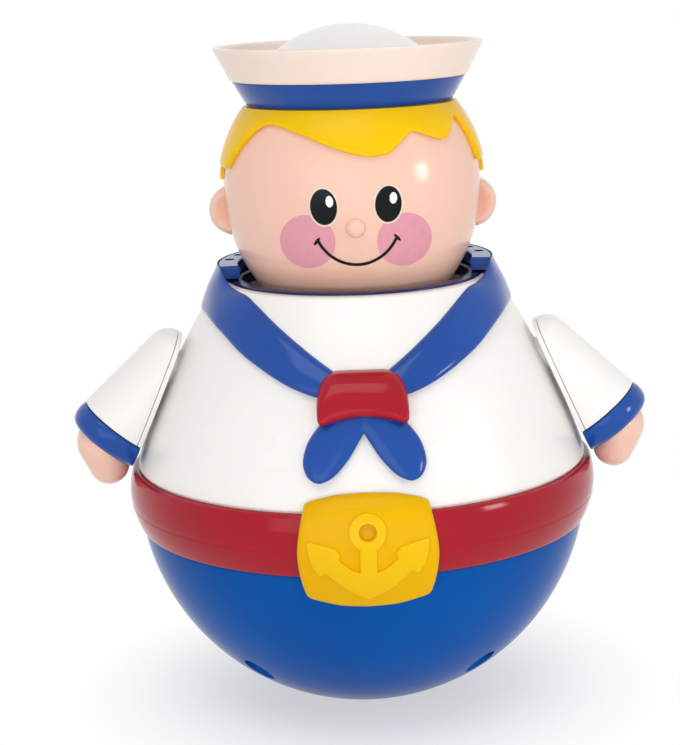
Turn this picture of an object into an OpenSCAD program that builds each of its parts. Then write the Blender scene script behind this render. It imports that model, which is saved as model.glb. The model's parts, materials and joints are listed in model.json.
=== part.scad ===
// Roly poly sailor toy: a weighted bowl, a belted torso, a turning head and two turning arms.
// Millimetres, +Z up. The foot rests at z = 0 and the figure faces -Y.

/* [Bowl] */
// Radius of the round underside
bowl_r = 61.5; // [58:0.5:66]
// Radius of the flat foot
foot_r = 12; // [8:0.5:16]
// Height of the bowl from the foot to the belt
bowl_h = 50; // [46:0.5:54]
// Wall of the large moulded shells
shell_wall = 2.4; // [1.8:0.1:3]
// Width of the shoulder that the belt sits on
rim_step = 2; // [1.6:0.1:2.6]

/* [Belt] */
// Height of the belt
belt_h = 16.5; // [14:0.5:20]
// How far the belt's lower edge stands out from the bowl
belt_proud = 0.5; // [0.2:0.1:1]
// How far the belt's top edge stands out from the bowl's rim
belt_flare = 2.05; // [1.4:0.05:2.4]
// How far the belt's middle swells out between its edges
belt_bulge = 1.75; // [1:0.05:2.5]
// Width of the groove between the belt and the torso
seam_w = 0.5; // [0.3:0.1:1]

/* [Buckle] */
// Width of the buckle
buckle_w = 35; // [28:1:42]
// Height of the buckle
buckle_h = 29; // [24:1:32]
// Thickness of the buckle plate
buckle_t = 2.6; // [2:0.1:4]
// Height of the raised anchor
anchor_relief = 1; // [0.5:0.1:1.5]
// Radius of the two pegs on the buckle's back
peg_r = 2; // [1.5:0.1:3]

/* [Torso] */
// Height of the torso from the belt to the neck
torso_h = 50.1; // [46:0.5:56]
// How far the torso's lower edge stands out from the bowl's rim
torso_step = 0.95; // [0.5:0.05:1.5]
// Width of the torso's top outside the neck ring
shoulder_w = 3; // [2.5:0.1:5]
// How far the torso's side swells out from a straight cone
torso_bulge = 1.8; // [1:0.1:2.5]
// Gap between the head and the neck ring
ring_gap = 3.4; // [2.6:0.1:4]
// Width of the neck ring
ring_w = 3.6; // [2.5:0.1:4]
// How far the neck ring stands above the torso
ring_rise = 0.6; // [0.3:0.1:1.2]
// How deep the neck ring sits in the torso
ring_sink = 2.8; // [2:0.1:4]

/* [Scarf] */
// Thickness of the scarf over the torso
scarf_t = 2.6; // [2:0.1:3.2]
// Height of the collar above the neck
collar_rise = 4.6; // [3:0.1:6]
// Depth of the collar below the neck
collar_drop = 7.2; // [6:0.1:10]
// Gap between the head and the collar's inner edge
collar_gap = 1.9; // [1.2:0.1:2.6]
// Height of the straps from the collar to the knot
strap_h = 24.6; // [20:0.5:28]
// Radius of the sound holes in the collar
sound_r = 1.4; // [1:0.1:1.8]
// Width of the knot
knot_w = 23; // [18:0.5:28]
// Height of the knot
knot_h = 12.2; // [10:0.2:15]
// How far the knot stands out from the torso
knot_t = 5.6; // [4:0.1:7]
// Length of the scarf tails below the knot
tail_h = 13.6; // [10:0.2:16]

/* [Head] */
// Largest radius of the head
head_r = 34.4; // [33:0.2:36]
// Height of the head's widest line above the neck
head_rise = 24.4; // [22:0.2:27]
// Height of the chin curve below the widest line
chin_h = 39.4; // [37:0.2:43]
// Height of the skull curve above the widest line
skull_h = 35.2; // [33:0.2:40]
// Wall of the head, the hat and the arms
head_wall = 2.2; // [1.8:0.1:2.8]
// How deep the head sits below the neck
head_sink = 4; // [3:0.1:4.6]
// Thickness of the hair
hair_t = 1.6; // [1.2:0.1:2.2]
// Radius of an ear
ear_r = 6.8; // [5.5:0.1:8]
// Thickness of an ear
ear_t = 7.6; // [5:0.1:9]
// Radius of the nose
nose_r = 2.4; // [1.8:0.1:3.2]

/* [Hat] */
// Height of the hat above the head's widest line
hat_rise = 22.2; // [20:0.2:25]
// How far the hat band's lower edge stands out from the head
band_over = 0.7; // [0:0.1:2]
// Height of the hat band
band_h = 6.5; // [5:0.1:8]
// How far the hat band flares out over its height
band_flare = 3.7; // [2.5:0.1:5]
// How far the brim stands out from the band
brim_step = 0.5; // [0.3:0.1:1]
// Height of the brim
brim_h = 9; // [7:0.1:12]
// How far the brim flares out over its height
brim_flare = 4.4; // [3:0.1:6]
// Distance of the crown's side inside the band's lower edge
crown_step = 2.8; // [2.6:0.1:5]
// Height of the crown's dome above the crown's side
dome_h = 12; // [9:0.1:14]
// Height of the whole hat
hat_h = 20.6; // [19:0.2:23]

/* [Arms] */
// Height of the shoulder axle above the belt
arm_rise = 27.8; // [25:0.2:30]
// How much more upright the arm's inner face stands than the torso's side, in degrees
arm_upright = 2.9; // [2:0.1:4]
// Gap between the arm's inner face and the torso at the axle
arm_stand = 1.4; // [1.1:0.1:2]
// How far in front of the figure's side the arms sit, in degrees
arm_forward = 6; // [0:0.5:12]
// Tilt of the sleeve from the arm's inner face, in degrees
sleeve_tilt = 22.1; // [18:0.5:26]
// Radius of the sleeve at the cuff
sleeve_r = 12.1; // [11:0.1:13.5]
// Radius of the sleeve at the shoulder
sleeve_top_r = 11.4; // [10:0.1:12]
// Length of the sleeve along its own axis
sleeve_l = 31.4; // [28:0.2:35]
// Rounding of the sleeve's shoulder end
sleeve_round = 6; // [4:0.2:8]
// Distance from the axle to the middle of the sleeve's end, down the arm
sleeve_reach = 21.8; // [20:0.2:25]
// Height of the middle of the sleeve's end above the arm's inner face
sleeve_lift = 6.4; // [5.5:0.1:8]
// Thickness of the plate that closes the sleeve
plate_t = 1.2; // [0.9:0.1:2]
// Length of the cuff
cuff_l = 6.4; // [5:0.1:8]
// Radius of the wrist inside the cuff
wrist_r = 4.5; // [3.5:0.1:5]
// Radius of the palm
palm_r = 7.6; // [6.5:0.1:8.5]
// Radius of the finger end of the hand
finger_r = 5; // [4:0.1:6]
// Distance from the palm to the finger end, down the arm
finger_reach = 5.8; // [4:0.1:7]

/* [Inside] */
// Radius of the counterweight
weight_r = 34; // [28:0.5:35]
// Height of the counterweight
weight_h = 13; // [9:0.5:16]
// Radius of the neck post
post_r = 7; // [5:0.1:8]
// Radius of a shoulder axle
axle_r = 5; // [4:0.1:6]
// Radius of the screw shanks
screw_r = 1.5; // [1.2:0.1:1.8]
// Radius of the screw heads
screw_head_r = 3.1; // [2.6:0.1:3.5]
// Height of the clapper's pin above the chime's base
pin_rise = 45; // [40:0.5:50]
// Radius of the clapper's pin
pin_r = 1.5; // [1.2:0.1:2]
// Length of the clapper below its pin
clapper_l = 26; // [22:0.5:30]
// Radius of the clapper's bar
clapper_r = 5; // [4:0.2:6]
// Distance of each row of chime rods from the middle
rod_row = 18; // [17:0.2:20]
// Radius of a chime rod
rod_r = 1.25; // [1:0.05:1.5]
// Length of the longest chime rod above the chime's base
rod_l = 42; // [36:0.5:46]

/* [Fits] */
// Gap between faces that move past each other
run_gap = 0.3; // [0.25:0.05:0.4]
// Gap between pieces that are fixed together
seat_gap = 0.15; // [0.1:0.05:0.2]
// Radial clearance of an axle or pin in its bore
shaft_gap = 0.06; // [0.03:0.01:0.1]

/* [Hidden] */
$fn = 96;
hull_fn = 32;
// How far a cut runs past the face that it opens
overrun = 1;
// Pieces in one curved stretch of an outline
curve_steps = 10;

// Bowl and belt, worked out
bowl_c = sqrt(bowl_r * bowl_r - foot_r * foot_r);
function bowl_at(z) = sqrt(bowl_r * bowl_r - (z - bowl_c) * (z - bowl_c));
rim_r = bowl_at(bowl_h);
spigot_r = rim_r - rim_step;
skirt_r = spigot_r - shell_wall;
floor_z = 2 * shell_wall;
split_z = bowl_h + belt_h / 2;
belt_top = bowl_h + belt_h;
belt_low_r = rim_r + belt_proud;
belt_top_r = rim_r + belt_flare;
belt_mid_r = (belt_low_r + belt_top_r) / 2 + belt_bulge;
// Share of the belt's height at which it is fattest
belt_mid_share = 0.53;

// Heights of the neck and the head
torso_z0 = belt_top + seam_w;
neck_z = belt_top + torso_h;
head_z0 = neck_z - head_sink;
head_z = neck_z + head_rise;
function head_at(z) = head_r * sqrt(1 - pow((z - head_z) / (z < head_z ? chin_h : skull_h), 2));

// Neck ring round the head
ring_in_r = head_at(neck_z) + ring_gap;
ring_r = ring_in_r + ring_w;
shoulder_r = ring_r + shoulder_w;

// Torso side: an arc from the belt to the neck
torso_low = [rim_r + torso_step, torso_z0];
torso_high = [shoulder_r, neck_z];
torso_chord = torso_high - torso_low;
chord_l = norm(torso_chord);
chord_out = [torso_chord[1], -torso_chord[0]] / chord_l;
torso_arc_r = (chord_l * chord_l / 4 + torso_bulge * torso_bulge) / (2 * torso_bulge);
torso_arc_c = (torso_low + torso_high) / 2 - (torso_arc_r - torso_bulge) * chord_out;
function torso_angle(z, grow = 0) = asin((z - torso_arc_c[1]) / (torso_arc_r + grow));
function torso_at(z) = torso_arc_c[0] + torso_arc_r * cos(torso_angle(z));
function torso_curve(z0, z1, grow = 0) =
    arc_points(torso_arc_c, torso_arc_r + grow, torso_angle(z0, grow), torso_angle(z1, grow));

// Neck cup in the top of the torso
ring_seat_z = neck_z - ring_sink;
// Room between the head's underside and the cup's floor
cup_room = 2.2;
cup_floor_z = head_z0 - cup_room;
neck_boss_r = post_r + 1.6 * shell_wall;
neck_boss_z1 = head_z0 - run_gap;
neck_boss_z0 = cup_floor_z - 2.6 * shell_wall;

// Hat heights and radii
hat_z = head_z + hat_rise;
band_top = hat_z + band_h;
brim_top = band_top + brim_h;
hat_top = hat_z + hat_h;
band_r = head_at(hat_z) + band_over;
band_top_r = band_r + band_flare;
brim_r = band_top_r + brim_step + brim_flare;
crown_r = band_r - crown_step;
dome_r = (crown_r * crown_r + dome_h * dome_h) / (2 * dome_h);
hat_wall = head_wall;

// Screws
screw_head_h = 0.7 * screw_head_r;
screw_bite = 8 * screw_r;
washer_t = screw_r;

// Pillars that the case screws draw together, on the diagonals
// Room round a screw head in its well, and the wall of the well
well_room = 0.8;
well_wall = 1.5;
well_r = screw_head_r + well_room;
pillar_r = well_r + well_wall;
// Distance of the pillars inside the belt's seat
pillar_inset = 17;
pillar_ring_r = spigot_r - pillar_inset;
pillar_angles = [45, 135, 225, 315];
case_seat_z = bowl_h - shell_wall;

// Counterweight and chime
weight_screw_x = 0.7 * weight_r;
weight_boss_r = 2.2 * screw_r;
weight_top = floor_z + weight_h;
yoke_t = shell_wall;
yoke_top = weight_top + yoke_t;
yoke_r = weight_r - shell_wall;
pin_z = yoke_top + pin_rise;
cheek_t = 1.25 * shell_wall;
cheek_w = 5 * shell_wall;
// Half of the space between the yoke's cheeks
cheek_in = 13.5;
clapper_bar_l = 2 * cheek_in - 4 * run_gap;
hub_r = pin_r + shell_wall;
rod_spread_shares = [-0.75, -0.25, 0.25, 0.75];
// How much shorter each next rod is
rod_fall = 1.6;

// Arm placing
pivot_z = belt_top + arm_rise;
pivot_r = torso_at(pivot_z) + arm_stand;
arm_lean = torso_angle(pivot_z) - arm_upright;
shoulder_boss_r = axle_r + 1.25 * shell_wall;
shoulder_boss_l = 3.6 * shell_wall;
axle_l = shoulder_boss_l + run_gap;
sleeve_in_r = sleeve_r - head_wall;
cuff_spigot_l = 1.8 * head_wall;
// Distance of the palm from the axle, down the arm and out from it
palm_reach = sleeve_reach + 0.62 * cuff_l;
palm_lift = sleeve_lift + 0.38 * cuff_l;
palm_half = 0.3 * palm_r;
// A size larger than the arm, for its cutting half space
arm_span = 3 * sleeve_l;

// Colours
blue = [0.10, 0.27, 0.62];
red = [0.70, 0.08, 0.15];
white = [0.95, 0.94, 0.91];
yellow = [0.95, 0.72, 0.02];
straw = [0.96, 0.80, 0.05];
skin = [0.95, 0.77, 0.69];
navy = [0.08, 0.10, 0.35];
steel = [0.70, 0.72, 0.75];
iron = [0.30, 0.30, 0.32];

// Curves
function arc_points(c, r, a0, a1, n = curve_steps) =
    [for (i = [0:n]) let (a = a0 + (a1 - a0) * i / n) c + r * [cos(a), sin(a)]];
function bend(p0, c, p1, n = curve_steps) =
    [for (i = [0:n]) let (t = i / n) (1 - t) * (1 - t) * p0 + 2 * t * (1 - t) * c + t * t * p1];
function reversed(list) = [for (i = [len(list) - 1:-1:0]) list[i]];
// A smooth curve through the points of a list, with n pieces between each two
function smooth(p, n = 3) = [
    for (i = [0:len(p) - 2], k = [0:n - 1])
        let (t = k / n, a = p[max(i - 1, 0)], b = p[i], c = p[i + 1], d = p[min(i + 2, len(p) - 1)])
            0.5 * (2 * b + (c - a) * t + (2 * a - 5 * b + 4 * c - d) * t * t
                + (3 * b - a - 3 * c + d) * t * t * t),
    p[len(p) - 1]
];
function placed(shares, size, at) = [for (s = shares) [at[0] + s[0] * size[0], at[1] + s[1] * size[1]]];
function flipped(points) = [for (p = points) [-p[0], p[1]]];

// Shapes that repeat
module sided(side) {
    if (side > 0) children();
    else mirror([1, 0, 0]) children();
}

// An outline seen from the front, as a cutter that reaches forwards from the axis
module front_cutter(points) {
    rotate([90, 0, 0]) linear_extrude(height = 2 * bowl_r) polygon(points);
}

// A layer over the torso's side, between two heights above its surface
module torso_layer(from, to, z0, z1) {
    rotate_extrude() polygon(concat(torso_curve(z0, z1, to), reversed(torso_curve(z0, z1, from))));
}

module screw(length) {
    cylinder(r = screw_head_r, h = screw_head_h);
    translate([0, 0, screw_head_h]) cylinder(r = screw_r, h = length);
}

module on_pillars() {
    for (a = pillar_angles) rotate([0, 0, a]) translate([pillar_ring_r, 0, 0]) children();
}

module on_weight_screws() {
    for (side = [-1, 1]) translate([side * weight_screw_x, 0, 0]) children();
}

// Bowl
module bowl_ball(inset = 0) {
    translate([0, 0, bowl_c]) sphere(r = bowl_r - inset);
}

module base_shell() {
    color(blue) difference() {
        union() {
            difference() {
                union() {
                    intersection() {
                        bowl_ball();
                        cylinder(r = bowl_r, h = bowl_h);
                    }
                    translate([0, 0, bowl_h - shell_wall])
                        cylinder(r = spigot_r, h = split_z - bowl_h + shell_wall);
                }
                intersection() {
                    bowl_ball(shell_wall);
                    translate([0, 0, floor_z]) cylinder(r = bowl_r, h = bowl_h - shell_wall - floor_z);
                }
                translate([0, 0, bowl_h - 1.5 * shell_wall]) cylinder(r = skirt_r, h = belt_h);
            }
            intersection() {
                bowl_ball();
                union() {
                    on_pillars() cylinder(r = pillar_r, h = split_z);
                    on_weight_screws() cylinder(r = weight_boss_r, h = weight_top);
                }
            }
        }
        on_pillars() {
            translate([0, 0, -overrun]) cylinder(r = well_r, h = case_seat_z + overrun);
            cylinder(r = screw_r + seat_gap, h = split_z + overrun);
        }
        on_weight_screws() translate([0, 0, floor_z])
            cylinder(r = screw_r + seat_gap, h = weight_h + overrun);
    }
}

module case_screws() {
    color(steel) on_pillars() translate([0, 0, case_seat_z - screw_head_h])
        screw(split_z - case_seat_z + screw_bite);
}

// Belt
belt_curve = bend([belt_low_r, bowl_h],
    [2 * belt_mid_r - (belt_low_r + belt_top_r) / 2, bowl_h + belt_mid_share * belt_h],
    [belt_top_r, belt_top]);

peg_x = 0.28 * buckle_w;
buckle_mid_z = bowl_h + 0.45 * belt_h;
buckle_low_z = buckle_mid_z - buckle_h / 2;
buckle_high_z = buckle_mid_z + buckle_h / 2;

// The pegs run from the belt's inner face into the middle of the buckle plate
buckle_seat_r = belt_mid_r + 2 * seat_gap;
peg_z = buckle_mid_z + peg_r;
peg_y0 = spigot_r + shell_wall / 3;
peg_y1 = sqrt(pow(buckle_seat_r + buckle_t / 2, 2) - peg_x * peg_x);

module pegs(r) {
    for (side = [-1, 1]) translate([side * peg_x, -peg_y0, peg_z])
        rotate([90, 0, 0]) cylinder(r = r, h = peg_y1 - peg_y0);
}

module belt_ring() {
    color(red) difference() {
        rotate_extrude() polygon(concat(
            [[spigot_r + seat_gap, bowl_h]], belt_curve, [[spigot_r + seat_gap, belt_top]]));
        translate([0, overrun, 0]) pegs(peg_r + seat_gap);
    }
}

// Buckle: a curved plate over the belt, with an anchor in relief
// Gap between the buckle's upper and lower edges and what they cover
buckle_edge_gap = 0.9;
buckle_back = bend(
    [bowl_at(buckle_low_z) + buckle_edge_gap, buckle_low_z],
    [2 * buckle_seat_r - (bowl_at(buckle_low_z) + torso_at(buckle_high_z)) / 2 - buckle_edge_gap,
        buckle_mid_z],
    [torso_at(buckle_high_z) + buckle_edge_gap, buckle_high_z]);
function thicker(curve, by) = [for (p = curve) p + [by, 0]];
// Right half of the buckle's outline, from the top middle down
buckle_shares = [[0, 0.5], [0.2, 0.49], [0.37, 0.45], [0.43, 0.41], [0.455, 0.35], [0.485, 0.18],
    [0.5, 0], [0.485, -0.2], [0.455, -0.36], [0.42, -0.41], [0.36, -0.435], [0.2, -0.485], [0, -0.5]];
buckle_half = placed(smooth(buckle_shares), [buckle_w, buckle_h], [0, buckle_mid_z]);
// Right half of the anchor's arms and fluke, from the bottom middle up
fluke_shares = [[0, -0.427], [0.08, -0.38], [0.17, -0.32], [0.257, -0.23], [0.3, -0.178], [0.35, -0.21],
    [0.39, -0.14], [0.42, -0.04], [0.426, 0.075], [0.4, 0.087], [0.226, 0.035], [0.19, -0.02], [0.2, -0.073],
    [0.126, -0.148], [0.06, -0.178], [0, -0.19]];
fluke_half = placed(fluke_shares, [buckle_w, buckle_h], [0, buckle_mid_z]);
anchor_eye_r = 0.135 * buckle_w;
anchor_eye_z = buckle_mid_z + 0.153 * buckle_h;
anchor_shank_w = 0.13 * buckle_w;

module anchor_outline() {
    polygon(concat(fluke_half, reversed(flipped(fluke_half))));
    difference() {
        union() {
            translate([0, anchor_eye_z]) circle(r = anchor_eye_r);
            translate([-anchor_shank_w / 2, buckle_mid_z - buckle_h / 4])
                square([anchor_shank_w, anchor_eye_z - buckle_mid_z + buckle_h / 4]);
        }
        translate([0, anchor_eye_z]) circle(r = 0.42 * anchor_eye_r);
    }
}

module belt_buckle() {
    color(yellow) {
        intersection() {
            rotate_extrude() polygon(concat(thicker(buckle_back, buckle_t), reversed(buckle_back)));
            front_cutter(concat(buckle_half, reversed(flipped(buckle_half))));
        }
        intersection() {
            rotate_extrude() polygon(concat(
                thicker(buckle_back, buckle_t + anchor_relief),
                reversed(thicker(buckle_back, 2 * buckle_t / 3))));
            rotate([90, 0, 0]) linear_extrude(height = 2 * bowl_r) anchor_outline();
        }
        pegs(peg_r);
    }
}

// Torso
torso_side = torso_curve(torso_z0 + seam_w, neck_z);
torso_outer = concat(
    [[0, split_z], [spigot_r, split_z], [spigot_r, belt_top], [rim_r, belt_top], [rim_r, torso_z0],
        [torso_low[0] - 2 * seam_w, torso_z0]],
    torso_side, [[0, neck_z]]);
cup_out_r = ring_in_r + shell_wall;
cup_under_z = cup_floor_z - shell_wall;
torso_pillar_h = cup_under_z + shell_wall / 2 - split_z;
torso_cavity = concat(
    [[0, split_z - overrun], [skirt_r, split_z - overrun], [skirt_r, torso_z0 + shell_wall]],
    torso_curve(torso_z0 + shell_wall, ring_seat_z - shell_wall, -shell_wall),
    [[cup_out_r, ring_seat_z - shell_wall], [cup_out_r, cup_under_z], [0, cup_under_z]]);

module on_shoulder(side) {
    sided(side) rotate([0, 0, -arm_forward]) translate([pivot_r, 0, pivot_z])
        rotate([0, 90 - arm_lean, 0]) children();
}

module torso_solid() {
    rotate_extrude() polygon(torso_outer);
}

module torso_shell() {
    color(white) difference() {
        union() {
            difference() {
                torso_solid();
                rotate_extrude() polygon(torso_cavity);
                translate([0, 0, cup_floor_z])
                    cylinder(r = ring_in_r, h = neck_z - cup_floor_z + overrun);
                translate([0, 0, ring_seat_z]) cylinder(r = ring_r + seat_gap, h = ring_sink + overrun);
            }
            intersection() {
                torso_solid();
                translate([0, 0, split_z]) on_pillars() cylinder(r = pillar_r, h = torso_pillar_h);
            }
            translate([0, 0, neck_boss_z0]) cylinder(r = neck_boss_r, h = neck_boss_z1 - neck_boss_z0);
            for (side = [-1, 1]) on_shoulder(side) translate([0, 0, -shoulder_boss_l])
                cylinder(r = shoulder_boss_r, h = shoulder_boss_l - run_gap);
        }
        translate([0, 0, neck_boss_z0 - overrun])
            cylinder(r = post_r + shaft_gap, h = neck_boss_z1 - neck_boss_z0 + 2 * overrun);
        on_pillars() translate([0, 0, split_z - overrun])
            cylinder(r = screw_r + seat_gap, h = screw_bite + 2 * overrun);
        for (side = [-1, 1]) on_shoulder(side) translate([0, 0, -shoulder_boss_l - overrun])
            cylinder(r = axle_r + shaft_gap, h = shoulder_boss_l + 2 * overrun);
    }
}

module neck_ring() {
    color(navy) rotate_extrude() polygon([
        [ring_in_r, ring_seat_z], [ring_r, ring_seat_z], [ring_r, neck_z + ring_rise / 2],
        [ring_r - ring_rise, neck_z + ring_rise], [ring_in_r + ring_rise, neck_z + ring_rise],
        [ring_in_r, neck_z]]);
}

// Scarf
collar_low_z = neck_z - collar_drop;
collar_top_z = neck_z + collar_rise;
collar_in_r = head_at(collar_top_z) + collar_gap;
collar_out_r = torso_at(collar_low_z) + scarf_t / 3;
collar_land_r = shoulder_r + seat_gap;
collar_under_z = neck_z + ring_rise + 3 * seat_gap;
// The collar is open at the front between these angles from straight ahead
collar_open_angle = 78;
sound_angles = [98, 112, 126];
sound_ring_r = (collar_in_r + collar_land_r) / 2;
strap_low_z = neck_z - strap_h + ring_rise + 2 * seat_gap;
// Right strap seen from the front: shares of the collar's radius and of the strap's height
strap_under_shares = [[0.41, 0.11], [0.62, 0.29], [0.78, 0.47], [0.9, 0.61], [1.03, 0.73]];
strap_over_shares = [[0.76, 1], [0.67, 0.943], [0.523, 0.736], [0.354, 0.512], [0.26, 0.394],
    [0.173, 0.293]];
knot_low_z = strap_low_z - 0.42 * knot_h;
knot_high_z = knot_low_z + knot_h;
knot_mid = [0, (knot_low_z + knot_high_z) / 2];
knot_side_x = knot_w / 2;
// The straps run in behind the knot's upper corners
strap_end_x = 0.6 * knot_side_x;
strap_outline = concat(
    [[strap_end_x, strap_low_z + strap_h / 4], [strap_end_x, strap_low_z]],
    smooth(placed(strap_under_shares, [collar_out_r, strap_h], [0, strap_low_z])),
    [[collar_out_r + scarf_t, strap_low_z + strap_h]],
    smooth(placed(strap_over_shares, [collar_out_r, strap_h], [0, strap_low_z])));

module collar_ring() {
    difference() {
        rotate_extrude() polygon(concat(
            bend([collar_out_r, collar_low_z], [collar_out_r - 3 * scarf_t / 4, neck_z - scarf_t / 3],
                [collar_land_r, collar_top_z]),
            [[collar_in_r, collar_top_z], [collar_in_r, collar_under_z],
                [ring_r + 2 * seat_gap, collar_under_z], [ring_r + 2 * seat_gap, neck_z + seat_gap]],
            reversed(torso_curve(collar_low_z, neck_z + seat_gap, 2 * seat_gap))));
        translate([0, 0, collar_low_z - overrun])
            linear_extrude(height = collar_top_z - collar_low_z + 2 * overrun)
                polygon(2 * bowl_r * [[0, 0], [sin(collar_open_angle), -cos(collar_open_angle)],
                    [1, -1], [-1, -1], [-sin(collar_open_angle), -cos(collar_open_angle)]]);
        for (side = [-1, 1], a = sound_angles) rotate([0, 0, -90 + side * a])
            translate([sound_ring_r, 0, neck_z]) cylinder(r = sound_r, h = collar_rise + overrun);
    }
}

module scarf_collar() {
    color(blue) {
        collar_ring();
        difference() {
            for (side = [-1, 1]) sided(side) intersection() {
                torso_layer(seat_gap, scarf_t, strap_low_z - overrun, strap_low_z + strap_h);
                front_cutter(strap_outline);
            }
            knot_cutter(seat_gap);
        }
    }
}

// Right half of the knot's outline, from the top middle down
knot_shares = [[0, 0.5], [0.28, 0.49], [0.39, 0.41], [0.465, 0.2], [0.495, -0.05], [0.5, -0.3],
    [0.485, -0.46], [0.45, -0.5], [0.3, -0.42], [0.15, -0.36], [0, -0.34]];

function knot_half(grow) =
    placed(smooth(knot_shares, 2), [knot_w + 2 * grow, knot_h + 2 * grow], knot_mid);

module knot_cutter(grow = 0) {
    front_cutter(concat(knot_half(grow), reversed(flipped(knot_half(grow)))));
}

module scarf_knot() {
    color(red) intersection() {
        torso_layer(seat_gap, knot_t, knot_low_z - overrun, knot_high_z + overrun);
        knot_cutter();
    }
}

// Right tail's outline, from the notch down to the tip and up again
tail_shares = [[0, -0.04], [0.13, -0.26], [0.34, -0.56], [0.66, -0.86], [1.0, -1], [1.24, -0.9],
    [1.33, -0.64], [1.22, -0.33], [0.86, 0.05]];
tail_half = placed(smooth(tail_shares), [knot_w / 2, tail_h], [0, knot_low_z]);

module scarf_tails() {
    color(blue) difference() {
        intersection() {
            torso_layer(seat_gap, scarf_t, knot_low_z - tail_h - overrun, knot_high_z);
            front_cutter(concat(
                tail_half, [[0, knot_mid[1]]], reversed(flipped(tail_half))));
        }
        knot_cutter(seat_gap);
    }
}

// Counterweight and chime
module counterweight() {
    color(iron) difference() {
        intersection() {
            translate([0, 0, floor_z]) cylinder(r = weight_r, h = weight_h);
            bowl_ball(shell_wall + seat_gap);
        }
        on_weight_screws() cylinder(r = weight_boss_r + seat_gap, h = weight_top + overrun);
    }
}

module weight_screws() {
    color(steel) on_weight_screws() translate([0, 0, yoke_top + screw_head_h]) mirror([0, 0, 1])
        screw(yoke_t + weight_h / 2);
}

rod_places = [for (side = [-1, 1], i = [0:len(rod_spread_shares) - 1])
    [rod_spread_shares[i] * cheek_in, side * rod_row, rod_l - rod_fall * (i + (side > 0 ? 4 : 0))]];

module chime_yoke() {
    color(white) difference() {
        union() {
            translate([0, 0, weight_top]) cylinder(r = yoke_r, h = yoke_t);
            for (side = [-1, 1]) sided(side) {
                translate([cheek_in, -cheek_w / 2, yoke_top - yoke_t / 2])
                    cube([cheek_t, cheek_w, pin_rise + yoke_t / 2]);
                translate([cheek_in, 0, pin_z]) rotate([0, 90, 0]) cylinder(r = cheek_w / 2, h = cheek_t);
            }
        }
        translate([-cheek_in - cheek_t - overrun, 0, pin_z]) rotate([0, 90, 0])
            cylinder(r = pin_r + shaft_gap, h = 2 * (cheek_in + cheek_t + overrun));
        on_weight_screws() translate([0, 0, weight_top - overrun])
            cylinder(r = screw_r + seat_gap, h = yoke_t + 2 * overrun);
        for (p = rod_places) translate([p[0], p[1], weight_top - overrun])
            cylinder(r = rod_r + shaft_gap, h = yoke_t + 2 * overrun);
    }
}

module chime_rods() {
    color(steel) for (p = rod_places)
        translate([p[0], p[1], weight_top]) cylinder(r = rod_r, h = yoke_t + p[2]);
}

module clapper_pin() {
    color(steel) translate([-cheek_in - cheek_t, 0, pin_z]) rotate([0, 90, 0])
        cylinder(r = pin_r, h = 2 * (cheek_in + cheek_t));
}

module clapper() {
    color(yellow) difference() {
        union() {
            translate([-cheek_in + run_gap, 0, pin_z]) rotate([0, 90, 0])
                cylinder(r = hub_r, h = 2 * (cheek_in - run_gap));
            translate([-hub_r / 2, -hub_r / 2, pin_z - clapper_l]) cube([hub_r, hub_r, clapper_l]);
            translate([-clapper_bar_l / 2, 0, pin_z - clapper_l]) rotate([0, 90, 0])
                cylinder(r = clapper_r, h = clapper_bar_l);
        }
        translate([-cheek_in, 0, pin_z]) rotate([0, 90, 0])
            cylinder(r = pin_r + shaft_gap, h = 2 * cheek_in);
    }
}

// Head
function head_curve(z0, z1, grow = 0, n = 2 * curve_steps) = [
    for (i = [0:n]) let (
        a0 = asin((z0 - head_z) / ((z0 < head_z ? chin_h : skull_h) + grow)),
        a1 = asin((z1 - head_z) / ((z1 < head_z ? chin_h : skull_h) + grow)),
        a = a0 + (a1 - a0) * i / n)
        [(head_r + grow) * cos(a), head_z + ((a < 0 ? chin_h : skull_h) + grow) * sin(a)]
];

module head_layer(from, to, z0, z1) {
    rotate_extrude() polygon(concat(head_curve(z0, z1, to), reversed(head_curve(z0, z1, from))));
}

ear_z = head_z - 0.166 * head_r;
// How far an ear stands out from the head
ear_proud = 4.4;
ear_x = head_r + ear_proud - ear_r;
ear_y = 0.03 * head_r;
nose_z = head_z - 0.21 * head_r;
nose_y = head_at(nose_z);
head_floor = head_wall;

module ears() {
    for (side = [-1, 1]) translate([side * ear_x, ear_y, ear_z]) rotate([90, 0, 0])
        rotate_extrude() polygon(concat([[0, -ear_t / 2]],
            arc_points([ear_r - ear_t / 2, 0], ear_t / 2, -90, 90), [[0, ear_t / 2]]));
}

module head_shell() {
    color(skin) difference() {
        union() {
            rotate_extrude() polygon(concat([[0, head_z0]], head_curve(head_z0, hat_z), [[0, hat_z]]));
            ears();
            translate([0, -nose_y, nose_z]) sphere(r = nose_r);
        }
        rotate_extrude() polygon(concat(
            [[0, head_z0 + head_floor]],
            head_curve(head_z0 + head_floor, hat_z - overrun / 2, -head_wall),
            [[band_r - 2 * head_wall, hat_z - overrun / 2], [band_r - 2 * head_wall, hat_z + overrun],
                [0, hat_z + overrun]]));
        translate([0, 0, head_z0 - overrun]) cylinder(r = post_r + seat_gap, h = head_floor + 2 * overrun);
    }
}

hair_span_share = 1.1;
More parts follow.
